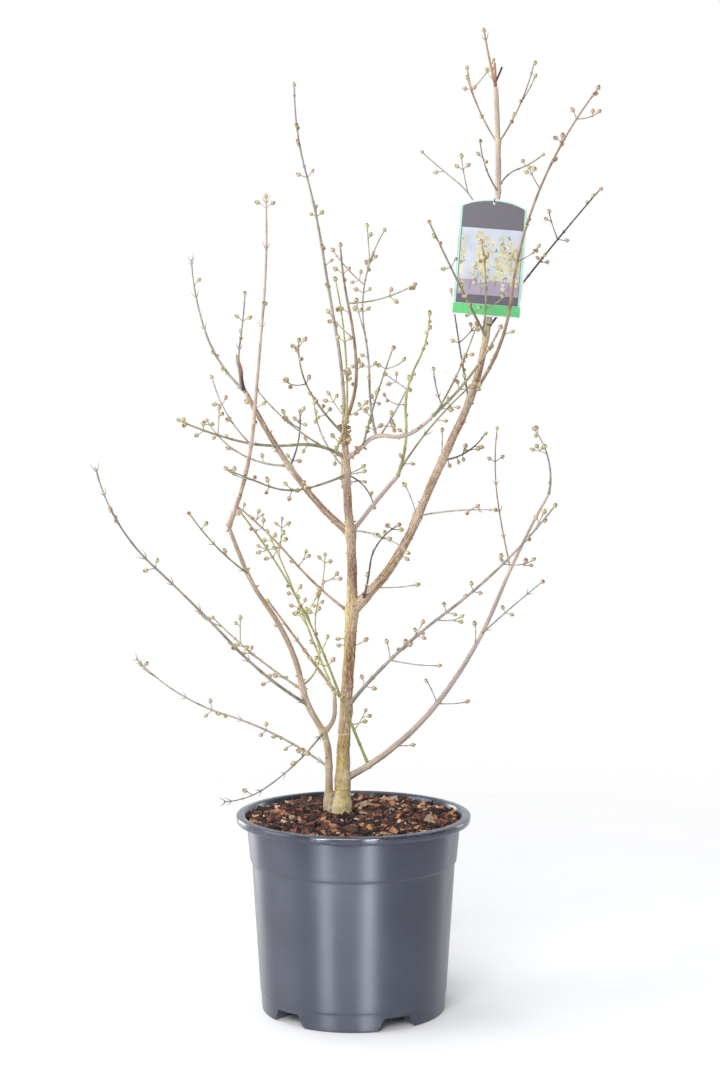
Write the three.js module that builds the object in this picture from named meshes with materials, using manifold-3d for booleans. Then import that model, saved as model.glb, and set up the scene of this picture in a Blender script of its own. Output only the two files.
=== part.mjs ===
import * as THREE from "three";
import { mergeVertices } from "three/addons/utils/BufferGeometryUtils.js";
import Module from "manifold-3d";

// Potted aurea cornelian cherry: a young bare shrub with round flower buds, in a grown-on nursery pot.
// Millimetres. +Z is up, +X is to the right of the front view and +Y points away from it.
// The origin is the middle of the pot's flat underside.

const wasm = await Module();
wasm.setup();

const GAP = 0.3; // clearance that two touching pieces keep
const WELD = 1e-4; // vertices closer than this are one
const AWAY = new THREE.Vector3(0, 1, 0);
const RIGHT = new THREE.Vector3(1, 0, 0);
const UP = new THREE.Vector3(0, 0, 1);
const { degToRad, lerp, clamp, smoothstep } = THREE.MathUtils;

// Pot sizes. The collar steps out from the body at collarZ, and the lip from the collar's top.
const POT = {
  height: 245,
  lipRadius: 149,
  lipDepth: 10,
  collarTop: 136,
  collarFoot: 131,
  collarZ: 186.5,
  bodyTop: 129,
  bodyFoot: 116.5,
  wall: 2.5,
  floorZ: 16,
  floorThick: 2.5,
  edge: 2.5,
  lipEdge: 3,
  stepOutside: 1,
  stepInside: 4,
  segments: 40,
};
// Drains: gaps through the foot of the wall, between feet whose lower corners are cut off
const DRAINS = { count: 5, first: -44.5, width: 55, height: 16, corner: 5, slope: 4.5, from: 72 };

// Soil sizes: level round the trunk, falling to the wall
const SOIL = {
  top: 241.6,
  levelRadius: 58,
  rimZ: 237,
  slope: [{ inside: 20, z: 239 }, { inside: 48, z: 240.8 }],
  clear: 0.8,
  segments: 30,
};

// Label sizes and place. Its plane faces the viewer, turned a little clockwise.
const LABEL = {
  width: 89,
  height: 149,
  arch: 10,
  crown: 1,
  thick: 0.8,
  corner: 5,
  holeRadius: 1.8,
  holeDrop: 4,
  turn: 4.4,
  at: new THREE.Vector3(180, 11, 1024.3),
  curveFaces: 6,
  holeFaces: 16,
};
const LABEL_ROOM = { below: 12, beside: 8, behind: 2 }; // kept free of twigs, and more

// Tie: a thin loop through the label's hole, over its top edge and round the leader
const TIE = { wire: 0.5, front: 5, half: 13.5, on: "leader", at: 0.5, faces: 5, steps: 24 };

// Trunk foot: it flares over the last few millimetres above the soil
const FOOT = new THREE.Vector3(-14, 16, SOIL.top - 8);
const FLARE = { extra: 3, reach: 14 };
const CUT = 100; // edge of the block that cuts the foot flat

// Each limb starts on another one (on) at a share of its length (at), or beside the trunk's foot (beside: how
// far to +X), and turns as it grows.
// lean: degrees from upright towards +X, evenly spaced from foot to tip; back: degrees towards +Y.
// thick: diameters, evenly spaced from foot to tip.
const BOUGHS = {
  trunk: { lean: [-1, 4, 3, -5, -1], back: [-3, -2, 0], length: 508, thick: [18.5, 16, 15, 16.5, 13, 11.5, 8] },
  stem_left: { on: "trunk", at: 0.04, lean: [-40, 4, -33, -10, -24, -35, -21, -19], back: [-10, -13, -19],
    length: 405, thick: [12, 9.5, 8.5, 7, 6] },
  fork_left: { on: "stem_left", at: 0.25, lean: [56, 3, -10], back: [-8, 41], length: 60, thick: [6, 4.6] },
  foot_left: { beside: -20, lean: [4, 3], back: [-7, -8], length: 56, thick: [12, 10.5] },
  bough_left: { on: "trunk", at: 0.72, lean: [-51, -35, -28], back: [15, 23], length: 240, thick: [10, 8.5, 7] },
  bough_right: { on: "trunk", at: 0.53, lean: [49, 23, 26, 6], back: [-4, 4, 4], length: 410,
    thick: [13, 11.5, 9.5] },
  leader: { on: "bough_right", at: 1, lean: [8, -4], back: [4, -3], length: 305, thick: [9, 7.5, 6] },
  bough_right_low: { on: "trunk", at: 0.1, lean: [65, 40, 24, 31], back: [7, 18, 13], length: 475,
    thick: [10, 8.5, 6.5, 4] },
  bough_right_second: { on: "trunk", at: 0.72, lean: [38, 43], back: [26, 26], length: 105, thick: [5.6, 5] },
  arm_right: { on: "trunk", at: 0.91, lean: [62, 42, 101, 59, 40], back: [-18, -17], length: 135,
    thick: [6, 4.2] },
};

// How a mass is budded. gap: distance between its pairs of spurs; bare: share of spurs that are missing;
// twigs: share that are side twigs rather than short stalks; reach: length of such a twig.
const HABITS = {
  open: { gap: 64, bare: 0.15, twigs: 0.55, reach: 40 },
  busy: { gap: 52, bare: 0.2, twigs: 0.3, reach: 28 },
  plain: { gap: 90, bare: 0.25, twigs: 0.1, reach: 22 },
  stub: { gap: Infinity, bare: 1, twigs: 0, reach: 0 },
};

// Each mass is one main stem, then side stems that start on it (on: "main"), all fused together.
const MASSES = {
  top_tall: [
    { on: "trunk", at: 1, lean: [0, -10, -9, -15, 0], back: [13, 3], length: 445, thick: [5, 1.8],
      habit: "open" },
  ],
  top_brown: [
    { on: "trunk", at: 1, lean: [27, -2, -12, -4], back: [-30, -25, -18], length: 245, thick: [5, 2.4],
      habit: "open" },
    { on: "main", at: 0.7, lean: [90, 60], back: [-10, -10], length: 85, thick: [2.2, 1.4], habit: "open" },
  ],
  top_front: [
    { on: "trunk", at: 0.97, lean: [-45, -30, 5], back: [-55, -50], length: 220, thick: [3, 1.6], habit: "busy" },
  ],
  top_left: [
    { on: "trunk", at: 0.91, lean: [-50, -95, -75, -65], back: [-35, -15], length: 235, thick: [4.5, 2.2],
      habit: "plain" },
    { on: "main", at: 0.08, lean: [25, 0, -5, -12], back: [-25, -20], length: 235, thick: [3.2, 1.8],
      habit: "busy" },
    { on: "main", at: 0.15, lean: [-60, -40], back: [-15, 30], length: 115, thick: [2.4, 1.6], habit: "busy" },
    { on: "main", at: 0.6, lean: [-45, -30, -15], back: [-10, 15], length: 95, thick: [2, 1.4], habit: "plain" },
  ],
  top_back: [
    { on: "trunk", at: 0.88, lean: [-50, -35, -5], back: [75, 50], length: 205, thick: [2.6, 1.6], habit: "busy" },
  ],
  left_sag: [
    { on: "trunk", at: 0.87, lean: [-112, -100, -63, -63], back: [-48, -55], length: 232, thick: [3, 1.6],
      habit: "busy" },
  ],
  right_droop: [
    { on: "trunk", at: 0.73, lean: [85, 100, 125], back: [-60, -70], length: 170, thick: [2.2, 1.4],
      habit: "plain" },
  ],
  back_droop: [
    { on: "trunk", at: 0.87, lean: [115, 170], back: [70, 60], length: 155, thick: [2.2, 1.4], habit: "busy" },
  ],
  right_mid: [
    { on: "trunk", at: 0.28, lean: [35, 50, 35], back: [-30, -25], length: 415, thick: [5, 2.2], habit: "open" },
  ],
  left_brown: [
    { on: "trunk", at: 0.52, lean: [-60, -45, -55], back: [45, 40], length: 270, thick: [3.6, 2.2],
      habit: "open" },
  ],
  left_high: [
    { on: "bough_left", at: 1, lean: [-50, -20, -5], back: [25, 25], length: 220, thick: [3.8, 1.8],
      habit: "plain" },
    { on: "main", at: 0.04, lean: [-10, 10, 5], back: [-30, -30], length: 140, thick: [3, 1.6], habit: "plain" },
    { on: "main", at: 0.02, lean: [-10, -12], back: [5, 0], length: 48, thick: [5, 3], habit: "stub" },
  ],
  left_under: [
    { on: "bough_left", at: 0.51, lean: [-95, -65, -35], back: [45, 45], length: 185, thick: [3, 1.6],
      habit: "busy" },
  ],
  left_inner: [
    { on: "bough_left", at: 0.5, lean: [25, -10], back: [60, 65], length: 150, thick: [2.4, 1.5], habit: "busy" },
  ],
  left_leader: [
    { on: "stem_left", at: 1, lean: [23, 5, 5, -2], back: [-16, -4, 0], length: 410, thick: [6, 3.6, 2.2],
      habit: "plain" },
  ],
  fork_shoots: [
    { on: "fork_left", at: 1, lean: [-42, -42], back: [45, 45], length: 185, thick: [4.4, 2.6], habit: "plain" },
    { on: "main", at: 0.02, lean: [-25, -22, -27], back: [28, 15], length: 225, thick: [3, 1.8], habit: "busy" },
  ],
  low_left_back: [
    { on: "stem_left", at: 0.13, lean: [-60, -80, -50], back: [35, 37], length: 360, thick: [3.2, 1.6],
      habit: "plain" },
  ],
  low_left_front: [
    { on: "stem_left", at: 0.25, lean: [-135, -125, -115, -80], back: [-60, -45], length: 220,
      thick: [2.6, 1.4], habit: "plain" },
  ],
  far_left: [
    { on: "stem_left", at: 0.35, lean: [-55, -40, -45, -12], back: [-30, -20, -10], length: 435,
      thick: [4.2, 1.8], habit: "plain" },
  ],
  far_left_back: [
    { on: "stem_left", at: 0.4, lean: [-65, -55], back: [45, 55], length: 225, thick: [3, 1.8], habit: "busy" },
  ],
  left_riser: [
    { on: "stem_left", at: 0.42, lean: [65, -18, 17, 0], back: [42, 42], length: 215, thick: [2.4, 1.4],
      habit: "busy" },
  ],
  left_out: [
    { on: "stem_left", at: 0.83, lean: [-45, -25], back: [-57, -57], length: 195, thick: [2.4, 1.4],
      habit: "plain" },
  ],
  right_rider: [
    { on: "bough_right", at: 0.77, lean: [37, 5, 21, 37], back: [-26, -18], length: 435, thick: [5, 3.4, 2.2],
      habit: "busy" },
  ],
  right_dark: [
    { on: "bough_right", at: 0.98, lean: [38, 43], back: [27, 41], length: 305, thick: [3.2, 1.8],
      habit: "open" },
  ],
  right_front: [
    { on: "bough_right", at: 0.96, lean: [-32, -28], back: [-55, -42], length: 235, thick: [3.6, 2],
      habit: "busy" },
    { on: "main", at: 0.06, lean: [5, -10], back: [-60, -15], length: 140, thick: [2.6, 1.6], habit: "busy" },
  ],
  label_back: [
    { on: "bough_right", at: 0.75, lean: [-8, -6], back: [42, 32], length: 180, thick: [2.6, 1.6],
      habit: "busy" },
  ],
  crotch: [
    { on: "bough_right", at: 0.05, lean: [12, 5, 55], back: [-64, -50], length: 220, thick: [3, 1.6],
      habit: "plain" },
  ],
  right_up: [
    { on: "bough_right", at: 0.55, lean: [92, 40], back: [64, 60], length: 150, thick: [2.6, 1.6],
      habit: "busy" },
  ],
  right_level: [
    { on: "bough_right", at: 0.36, lean: [70, 85], back: [-61, -61], length: 185, thick: [2.4, 1.4],
      habit: "plain" },
  ],
  arm_tip: [
    { on: "arm_right", at: 1, lean: [48, 26], back: [-13, -13], length: 140, thick: [4, 2.4], habit: "busy" },
    { on: "main", at: 0.04, lean: [30, 15], back: [-32, -48], length: 150, thick: [2.6, 1.6], habit: "busy" },
    { on: "main", at: 0.12, lean: [-25, -5], back: [-40, -20], length: 55, thick: [2, 1.4], habit: "plain" },
  ],
  arm_tall: [
    { on: "arm_right", at: 0.38, lean: [-14, 0, -10, 10, 30], back: [38, 42, 24], length: 345,
      thick: [3.6, 2.4, 1.6], habit: "open" },
    { on: "main", at: 0.74, lean: [-50, -35], back: [10, 10], length: 62, thick: [1.8, 1.4], habit: "open" },
  ],
  arm_front: [
    { on: "arm_right", at: 0.22, lean: [13, 19], back: [-45, -58], length: 205, thick: [2.6, 1.6],
      habit: "busy" },
  ],
  arm_back: [
    { on: "arm_right", at: 0.42, lean: [38, 26], back: [66, 60], length: 195, thick: [2.4, 1.5], habit: "busy" },
  ],
  right_second: [
    { on: "bough_right_second", at: 1, lean: [21, -4, 29, 1], back: [24, 33], length: 250, thick: [4.4, 2],
      habit: "busy" },
    { on: "main", at: 0.03, lean: [32, 49], back: [10, 16], length: 145, thick: [2.8, 1.8], habit: "plain" },
    { on: "main", at: 0.5, lean: [-55, -55], back: [20, 20], length: 35, thick: [1.8, 1.4], habit: "plain" },
  ],
  right_low_tip: [
    { on: "bough_right_low", at: 1, lean: [15, -35], back: [30, 30], length: 100, thick: [3.2, 1.6],
      habit: "busy" },
  ],
  right_low_side: [
    { on: "bough_right_low", at: 0.56, lean: [40, 42], back: [-45, -50], length: 155, thick: [2.4, 1.4],
      habit: "plain" },
  ],
  right_low_up: [
    { on: "bough_right_low", at: 0.76, lean: [-10, -6, 8], back: [53, 23], length: 230, thick: [2.4, 1.5],
      habit: "plain" },
  ],
  green_front: [
    { on: "bough_right_low", at: 0.08, lean: [-22, -19, -26, -34], back: [-14, -38, -40], length: 450,
      thick: [3.8, 2], habit: "busy" },
  ],
  leader_top: [
    { on: "leader", at: 1, lean: [-15, -10], back: [-12, -7], length: 70, thick: [3.4, 2.2], habit: "plain" },
    { on: "main", at: 0.02, lean: [0, -6], back: [-22, -12], length: 30, thick: [3.8, 3], habit: "stub" },
    { on: "main", at: 0.06, lean: [28, 20], back: [8, 5], length: 24, thick: [3, 2.4], habit: "stub" },
  ],
  leader_left: [
    { on: "leader", at: 0.76, lean: [-31, -6], back: [32, 36], length: 135, thick: [2.4, 1.5], habit: "open" },
  ],
  leader_right: [
    { on: "leader", at: 0.76, lean: [35, 12], back: [-42, -39], length: 130, thick: [2.4, 1.5], habit: "open" },
  ],
  leader_low_left: [
    { on: "leader", at: 0.56, lean: [-45, -13], back: [-62, -62], length: 130, thick: [2.4, 1.5],
      habit: "busy" },
  ],
  leader_low_right: [
    { on: "leader", at: 0.56, lean: [17, 67, 49], back: [46, 49], length: 130, thick: [2.4, 1.5],
      habit: "open" },
  ],
  leader_back: [
    { on: "leader", at: 0.25, lean: [-12, -14, -48, -43], back: [30, 40], length: 225, thick: [2.6, 1.5],
      habit: "open" },
  ],
};

// Spurs: stalks and twigs that end in a round bud. A spur leaves its stem at an angle (open), and a twig
// bends upwards (lift) half way. jitter: degrees that its turn round the stem varies by; sizes: range of the
// factor on its length; shift: range of its place within its share of the stem.
const BUD = { radius: 3.2, length: 6.5 };
const STALK = { length: 7, radius: 0.9 };
const SPUR = { open: 55, lift: 0.8, radius: 1, taper: 0.8, jitter: 30, sizes: [0.7, 1.3], shift: [0.3, 0.7] };
const TWIG_FROM = 19.5; // a spur longer than this is a twig
const FOOT_FREE = 26; // bare stretch at a stem's foot
const TIP_FREE = 12; // bare stretch at its tip
const SEED = 1801;

// Room that a spur keeps from other pieces, and from its own mass beyond its root
const ROOM = { others: 3.5, own: 1, root: 6 };
const TRAIL_STEP = 4; // spacing of the points that are kept clear
const TOUCH = 2; // limbs nearer than this are cut free of each other

// Faces of the solids
const STEPS = 24;
const TRUNK_FACES = { sides: 10, step: 22 };
const BOUGH_FACES = { sides: 7, step: 30 };
const STEM_FACES = { sides: 3, step: 45 };
const SPUR_FACES = 3;

// Colours
const BARK = { color: 0x7d6a52, roughness: 0.9 };
const TWIG = { color: 0x8f8660, roughness: 0.8 };
const PLASTIC = { color: 0x3b3f46, roughness: 0.45 };
const EARTH = { color: 0x3a2a20, roughness: 1 };
const CARD = { color: 0xdfeee2, roughness: 0.5 };
const CORD = { color: 0xeeeeea, roughness: 0.5 };

// Solids

function solid(geometry) {
  geometry.deleteAttribute("normal");
  geometry.deleteAttribute("uv");
  const merged = mergeVertices(geometry, WELD);
  const index = merged.index.array;
  const kept = [];
  for (let i = 0; i < index.length; i += 3) {
    const [a, b, c] = index.subarray(i, i + 3);
    if (a !== b && b !== c && c !== a) kept.push(a, b, c);
  }
  const vertProperties = Float32Array.from(merged.attributes.position.array);
  return new wasm.Manifold(new wasm.Mesh({ numProp: 3, vertProperties, triVerts: Uint32Array.from(kept) }));
}

// The largest body of a solid, as a named mesh; any loose scrap is dropped.
function piece(name, shape, finish) {
  const bodies = shape.decompose().sort((a, b) => b.volume() - a.volume());
  const mesh = bodies[0].getMesh();
  const geometry = new THREE.BufferGeometry();
  geometry.setAttribute("position", new THREE.BufferAttribute(mesh.vertProperties, 3));
  geometry.setIndex(new THREE.BufferAttribute(mesh.triVerts, 1));
  const object = new THREE.Mesh(geometry, new THREE.MeshStandardMaterial({ metalness: 0, ...finish }));
  object.name = name;
  return object;
}

function lathe(profile, segments) {
  const points = profile.map(([r, z]) => new THREE.Vector2(r, z));
  return solid(new THREE.LatheGeometry(points, segments).rotateX(Math.PI / 2));
}

function box(width, depth, height, x, y, z) {
  return solid(new THREE.BoxGeometry(width, depth, height).translate(x, y, z));
}

// Pot and soil

function wallRadius(z) {
  return lerp(POT.bodyFoot, POT.bodyTop, z / POT.collarZ);
}

function makePot() {
  const { height, lipRadius, lipDepth, lipEdge, collarTop, collarFoot, collarZ, stepOutside, stepInside } = POT;
  const { bodyTop, bodyFoot, wall, edge } = POT;
  const lipZ = height - lipDepth;
  const floorTop = POT.floorZ + POT.floorThick;
  const outside = [
    [0, 0], [bodyFoot - edge, 0], [bodyFoot, edge], [bodyTop, collarZ - stepOutside],
    [collarFoot, collarZ + stepOutside], [collarTop, lipZ], [lipRadius - lipEdge, lipZ],
    [lipRadius, lipZ + lipEdge], [lipRadius, height - lipEdge], [lipRadius - lipEdge, height],
    [collarTop + lipEdge, height],
  ];
  const inside = [
    [collarTop - wall, lipZ - wall], [collarFoot - wall, collarZ + stepInside],
    [wallRadius(collarZ - stepInside) - wall, collarZ - stepInside], [wallRadius(floorTop) - wall, floorTop],
    [0, floorTop],
  ];
  let pot = lathe([...outside, ...inside], POT.segments);
  const { corner, slope, from } = DRAINS;
  const half = DRAINS.width / 2;
  const arch = new THREE.Shape();
  arch.moveTo(-half - corner, -corner);
  arch.lineTo(half + corner, -corner);
  arch.lineTo(half - corner, corner);
  arch.lineTo(half - corner - slope, DRAINS.height);
  arch.lineTo(slope + corner - half, DRAINS.height);
  arch.lineTo(corner - half, corner);
  const length = lipRadius - from;
  for (let i = 0; i < DRAINS.count; i++) {
    const drain = new THREE.ExtrudeGeometry(arch, { depth: length, bevelEnabled: false });
    drain.rotateX(Math.PI / 2).translate(0, -from, 0);
    drain.rotateZ(degToRad(DRAINS.first + (i * 360) / DRAINS.count));
    pot = pot.subtract(solid(drain));
  }
  return piece("pot", pot, PLASTIC);
}

function makeSoil() {
  const { collarFoot, collarTop, collarZ, stepInside } = POT;
  const floor = POT.floorZ + POT.floorThick + GAP;
  const step = collarZ - stepInside;
  const inner = POT.wall + SOIL.clear;
  const rim = lerp(collarFoot, collarTop, (SOIL.rimZ - collarZ) / (POT.height - POT.lipDepth - collarZ));
  const soil = lathe([
    [0, floor], [wallRadius(floor) - inner, floor], [wallRadius(step) - inner, step],
    [collarFoot - inner, collarZ + stepInside], [rim - inner, SOIL.rimZ],
    ...SOIL.slope.map(({ inside, z }) => [rim - inside, z]), [SOIL.levelRadius, SOIL.top], [0, SOIL.top],
  ], SOIL.segments);
  return piece("soil", soil, EARTH);
}

// Label and its tie

function makeLabel() {
  const { width, height, arch, crown, thick, corner, holeRadius, holeDrop } = LABEL;
  const half = width / 2;
  const shoulder = -arch;
  const outline = new THREE.Shape();
  outline.moveTo(-half, corner - height);
  outline.lineTo(-half, shoulder - corner);
  outline.quadraticCurveTo(-half, shoulder, corner - half, shoulder + crown);
  outline.quadraticCurveTo(0, arch + crown, half - corner, shoulder + crown);
  outline.quadraticCurveTo(half, shoulder, half, shoulder - corner);
  outline.lineTo(half, corner - height);
  outline.quadraticCurveTo(half, -height, half - corner, -height);
  outline.lineTo(corner - half, -height);
  outline.quadraticCurveTo(-half, -height, -half, corner - height);
  const corners = outline.getPoints(LABEL.curveFaces).slice(0, -1);
  const card = new THREE.ExtrudeGeometry(new THREE.Shape(corners), { depth: thick, bevelEnabled: false });
  const hole = new THREE.CylinderGeometry(holeRadius, holeRadius, 4 * thick, LABEL.holeFaces);
  hole.translate(0, 0, -holeDrop);
  card.rotateX(Math.PI / 2).translate(0, thick / 2, 0);
  for (const shape of [card, hole]) {
    shape.rotateY(degToRad(LABEL.turn)).translate(LABEL.at.x, LABEL.at.y, LABEL.at.z);
  }
  return piece("label", solid(card).subtract(solid(hole)), CARD);
}

// The loop: its front part is in front of the label, one strand goes through the hole and the other over
// the top edge, and they part to pass round the leader and meet behind it.
class TieCurve extends THREE.Curve {
  constructor(hole, post, postRadius) {
    super();
    const lowStrand = LABEL.holeRadius - TIE.wire - 2 * GAP;
    const highStrand = LABEL.holeDrop + LABEL.crown + TIE.wire + GAP;
    this.from = hole.clone().add(new THREE.Vector3(0, -TIE.front, (lowStrand + highStrand) / 2));
    this.to = this.from.clone().setX(post.x).setY(post.y + postRadius + TIE.wire + GAP);
    const crossing = TIE.front / (this.to.y - this.from.y);
    this.rise = (highStrand - lowStrand) / 2 / Math.sin(Math.acos(1 - 2 * crossing)) / (1 - crossing ** 2);
  }

  getPoint(t, target = new THREE.Vector3()) {
    const turn = 2 * Math.PI * t;
    const far = (1 - Math.cos(turn)) / 2;
    target.lerpVectors(this.from, this.to, far);
    const shift = smoothstep(far, 0.25, 0.75);
    target.x = lerp(this.from.x, this.to.x, shift) + TIE.half * Math.sin(turn) * far ** 3;
    target.z -= this.rise * Math.sin(turn) * (1 - far ** 2);
    return target;
  }
}

function makeTie() {
  const hole = new THREE.Vector3(0, 0, -LABEL.holeDrop).applyAxisAngle(AWAY, degToRad(LABEL.turn)).add(LABEL.at);
  const post = boughs[TIE.on];
  const curve = new TieCurve(hole, post.route.at(TIE.at).point, limbRadius(post, TIE.at));
  return piece("label_tie", solid(new THREE.TubeGeometry(curve, TIE.steps, TIE.wire, TIE.faces, true)), CORD);
}

// Limbs

// A value read at a share of the way along an evenly spaced list.
function along(values, share) {
  const place = clamp(share, 0, 1) * (values.length - 1);
  const i = Math.min(Math.floor(place), values.length - 2);
  return lerp(values[i], values[i + 1], place - i);
}

function heading(lean, back) {
  const a = degToRad(lean);
  const b = degToRad(back);
  return new THREE.Vector3(Math.sin(a) * Math.cos(b), Math.sin(b), Math.cos(a) * Math.cos(b));
}

// A centre line of short straight steps; turning gives the direction at a share of the way.
class Route {
  constructor(foot, length, steps, turning) {
    this.length = length;
    this.points = [foot.clone()];
    this.ways = [];
    for (let i = 0; i < steps; i++) {
      this.ways.push(turning((i + 0.5) / steps));
      this.points.push(this.points[i].clone().addScaledVector(this.ways[i], length / steps));
    }
    this.sideways = this.carrySide();
  }

  // A crosswise direction at each step, carried along without twisting.
  carrySide() {
    const start = Math.abs(this.ways[0].y) < 0.9 ? AWAY : RIGHT;
    const side = new THREE.Vector3().crossVectors(start, this.ways[0]);
    return this.ways.map((way) => side.addScaledVector(way, -side.dot(way)).normalize().clone());
  }

  // Point, direction and two crosswise directions at a share of the way; past an end it runs on straight.
  at(share) {
    const steps = this.ways.length;
    const place = clamp(share, 0, 1) * steps;
    const i = Math.max(Math.ceil(place) - 1, 0);
    const way = this.ways[i];
    const past = (share - clamp(share, 0, 1)) * this.length;
    const point = this.points[i].clone().lerp(this.points[i + 1], place - i).addScaledVector(way, past);
    const side = this.sideways[i];
    return { point, way, side, other: new THREE.Vector3().crossVectors(side, way) };
  }
}

// A closed tube round a route: a cylinder bent along it, with a ring at each share and radius.
function tube(route, sides, rings) {
  const last = rings.length - 1;
  const geometry = new THREE.CylinderGeometry(1, 1, 1, sides, last);
  const position = geometry.attributes.position;
  for (let i = 0; i < position.count; i++) {
    const [share, radius] = rings[Math.round((position.getY(i) + 0.5) * last)];
    const { point, side, other } = route.at(share);
    point.addScaledVector(side, position.getX(i) * radius).addScaledVector(other, position.getZ(i) * radius);
    position.setXYZ(i, point.x, point.y, point.z);
  }
  return solid(geometry);
}

function limbRadius(limb, share) {
  const flare = limb.flare ? limb.flare.extra * Math.exp((-share * limb.length) / limb.flare.reach) : 0;
  return along(limb.thick, share) / 2 + flare;
}

// The rings of a bud whose foot is at the given length of a twig.
function budRings(foot, length, margin = 0) {
  const middle = [(foot + BUD.length / 2) / length, BUD.radius + margin];
  return [middle, [(foot + BUD.length + margin) / length, margin]];
}

// A limb's solid, with the bud at its tip if it has one, grown outwards by a margin.
function limbTube(limb, margin = 0) {
  const count = Math.max(2, Math.round(limb.length / limb.faces.step));
  const rings = [[-margin / limb.length, limbRadius(limb, 0) + margin]];
  for (let i = 1; i <= count; i++) rings.push([i / count, limbRadius(limb, i / count) + margin]);
  if (limb.habit && limb.habit !== "stub") rings.push(...budRings(limb.length, limb.length, margin));
  else rings[count][0] += margin / limb.length;
  return tube(limb.route, limb.faces.sides, rings);
}

function makeLimb(spec, foot, faces) {
  const turning = (share) => heading(along(spec.lean, share), along(spec.back, share));
  return { ...spec, faces, route: new Route(foot, spec.length, STEPS, turning) };
}

// All limbs are laid out first, so that spurs can keep clear of them.
const boughs = {};
for (const [name, spec] of Object.entries(BOUGHS)) {
  const onSoil = FOOT.clone().setX(FOOT.x + (spec.beside ?? 0));
  const foot = spec.on ? boughs[spec.on].route.at(spec.at).point : onSoil;
  boughs[name] = makeLimb(spec, foot, spec.on ? BOUGH_FACES : TRUNK_FACES);
}
boughs.trunk.flare = FLARE;

const masses = {};
for (const [name, stems] of Object.entries(MASSES)) {
  const main = makeLimb(stems[0], boughs[stems[0].on].route.at(stems[0].at).point, STEM_FACES);
  const sides = stems.slice(1).map((spec) => makeLimb(spec, main.route.at(spec.at).point, STEM_FACES));
  masses[name] = [main, ...sides];
}

// Spurs

let state = SEED;
function random() {
  state = (state * 48271) % 2147483647;
  return state / 2147483647;
}

// Points along a limb or spur, each with its radius, that others are kept clear of.
function trail(owner, route, radius) {
  const count = Math.ceil(route.length / TRAIL_STEP);
  const points = [];
  for (let i = 0; i <= count; i++) {
    points.push({ owner, point: route.at(i / count).point, radius: radius(i / count) });
  }
  return points;
}

const taken = [];
for (const [name, limb] of Object.entries(boughs)) {
  taken.push(...trail(name, limb.route, (share) => limbRadius(limb, share)));
}
for (const [name, stems] of Object.entries(masses)) {
  for (const limb of stems) taken.push(...trail(name, limb.route, (share) => limbRadius(limb, share)));
}

function hitsLabel(point, margin) {
  const low = LABEL.at.z - LABEL.height - LABEL_ROOM.below - margin;
  const high = LABEL.at.z + LABEL.arch + margin;
  const wide = LABEL.width / 2 + LABEL_ROOM.beside + margin;
  const inPlane = Math.abs(point.x - LABEL.at.x) < wide && point.z > low && point.z < high;
  return inPlane && Math.abs(point.y - LABEL.at.y) < LABEL_ROOM.behind + margin;
}

function isClear(owner, own) {
  const start = own[0].point;
  return own.every(({ point, radius }) => {
    const edge = radius + ROOM.others;
    if (hitsLabel(point, edge) || point.z < POT.height + edge) return false;
    return taken.every((other) => {
      const distance = other.point.distanceTo(point);
      if (other.owner !== owner) return distance > edge + other.radius;
      const beyondRoot = point.distanceTo(start) > other.radius + ROOM.root;
      return !beyondRoot || distance > radius + other.radius + ROOM.own;
    });
  });
}

// One spur: a short straight stalk, or a longer twig that turns upwards half way, with a bud at its end.
function spur(owner, stem, share, turn, length) {
  const { point, way, side, other } = stem.route.at(share);
  const across = side.clone().multiplyScalar(Math.cos(degToRad(turn)));
  across.addScaledVector(other, Math.sin(degToRad(turn)));
  const start = way.clone().multiplyScalar(Math.cos(degToRad(SPUR.open)));
  start.addScaledVector(across, Math.sin(degToRad(SPUR.open)));
  const isTwig = length > TWIG_FROM;
  const turning = (s) => start.clone().addScaledVector(UP, s > 0.5 ? SPUR.lift : 0).normalize();
  const route = new Route(point, length + limbRadius(stem, share), isTwig ? 2 : 1, turning);
  const budFoot = route.length - BUD.length;
  const stalk = isTwig ? SPUR.radius : STALK.radius;
  const own = trail(owner, route, (s) => (s * route.length > budFoot ? BUD.radius : stalk));
  if (!isClear(owner, own)) return null;
  taken.push(...own);
  const tip = [budFoot / route.length, stalk * SPUR.taper];
  const rings = [[0, stalk], ...(isTwig ? [[0.5, stalk]] : []), tip, ...budRings(budFoot, route.length)];
  return tube(route, SPUR_FACES, rings);
}

// The spurs of one stem: opposite pairs, each pair turned a quarter from the last.
function budStem(owner, stem) {
  const { gap, bare, twigs, reach } = HABITS[stem.habit];
  const spurs = [];
  const free = stem.length - FOOT_FREE - TIP_FREE;
  const pairs = Math.max(0, Math.round(free / gap));
  const firstTurn = 90 * Math.round(random());
  for (let i = 0; i < pairs; i++) {
    const share = (FOOT_FREE + (free * (i + lerp(...SPUR.shift, random()))) / pairs) / stem.length;
    for (const half of [0, 180]) {
      const turn = firstTurn + 90 * i + half + SPUR.jitter * (random() - 0.5);
      const isTwig = random() < twigs;
      const size = lerp(...SPUR.sizes, random());
      const isBare = random() < bare;
      const length = BUD.length + (isTwig ? reach : STALK.length) * size;
      if (!isBare) spurs.push(spur(owner, stem, share, turn, length));
    }
  }
  return spurs.filter((shape) => shape !== null);
}

// Pieces

// Cuts from a limb's solid the limbs already made that it touches at its foot, and keeps them clear.
const made = [];
function fitted(shape, stems) {
  let result = shape;
  for (const other of made) {
    const meets = stems.some((stem) =>
      trail("", stem.route, (share) => limbRadius(stem, share)).some(({ point, radius }) =>
        other.points.some((spot) => spot.point.distanceTo(point) < spot.radius + radius + TOUCH)));
    if (meets) result = result.subtract(other.grown);
  }
  for (const stem of stems) {
    const points = trail("", stem.route, (share) => limbRadius(stem, share));
    made.push({ points, grown: limbTube(stem, GAP) });
  }
  return result;
}

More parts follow.
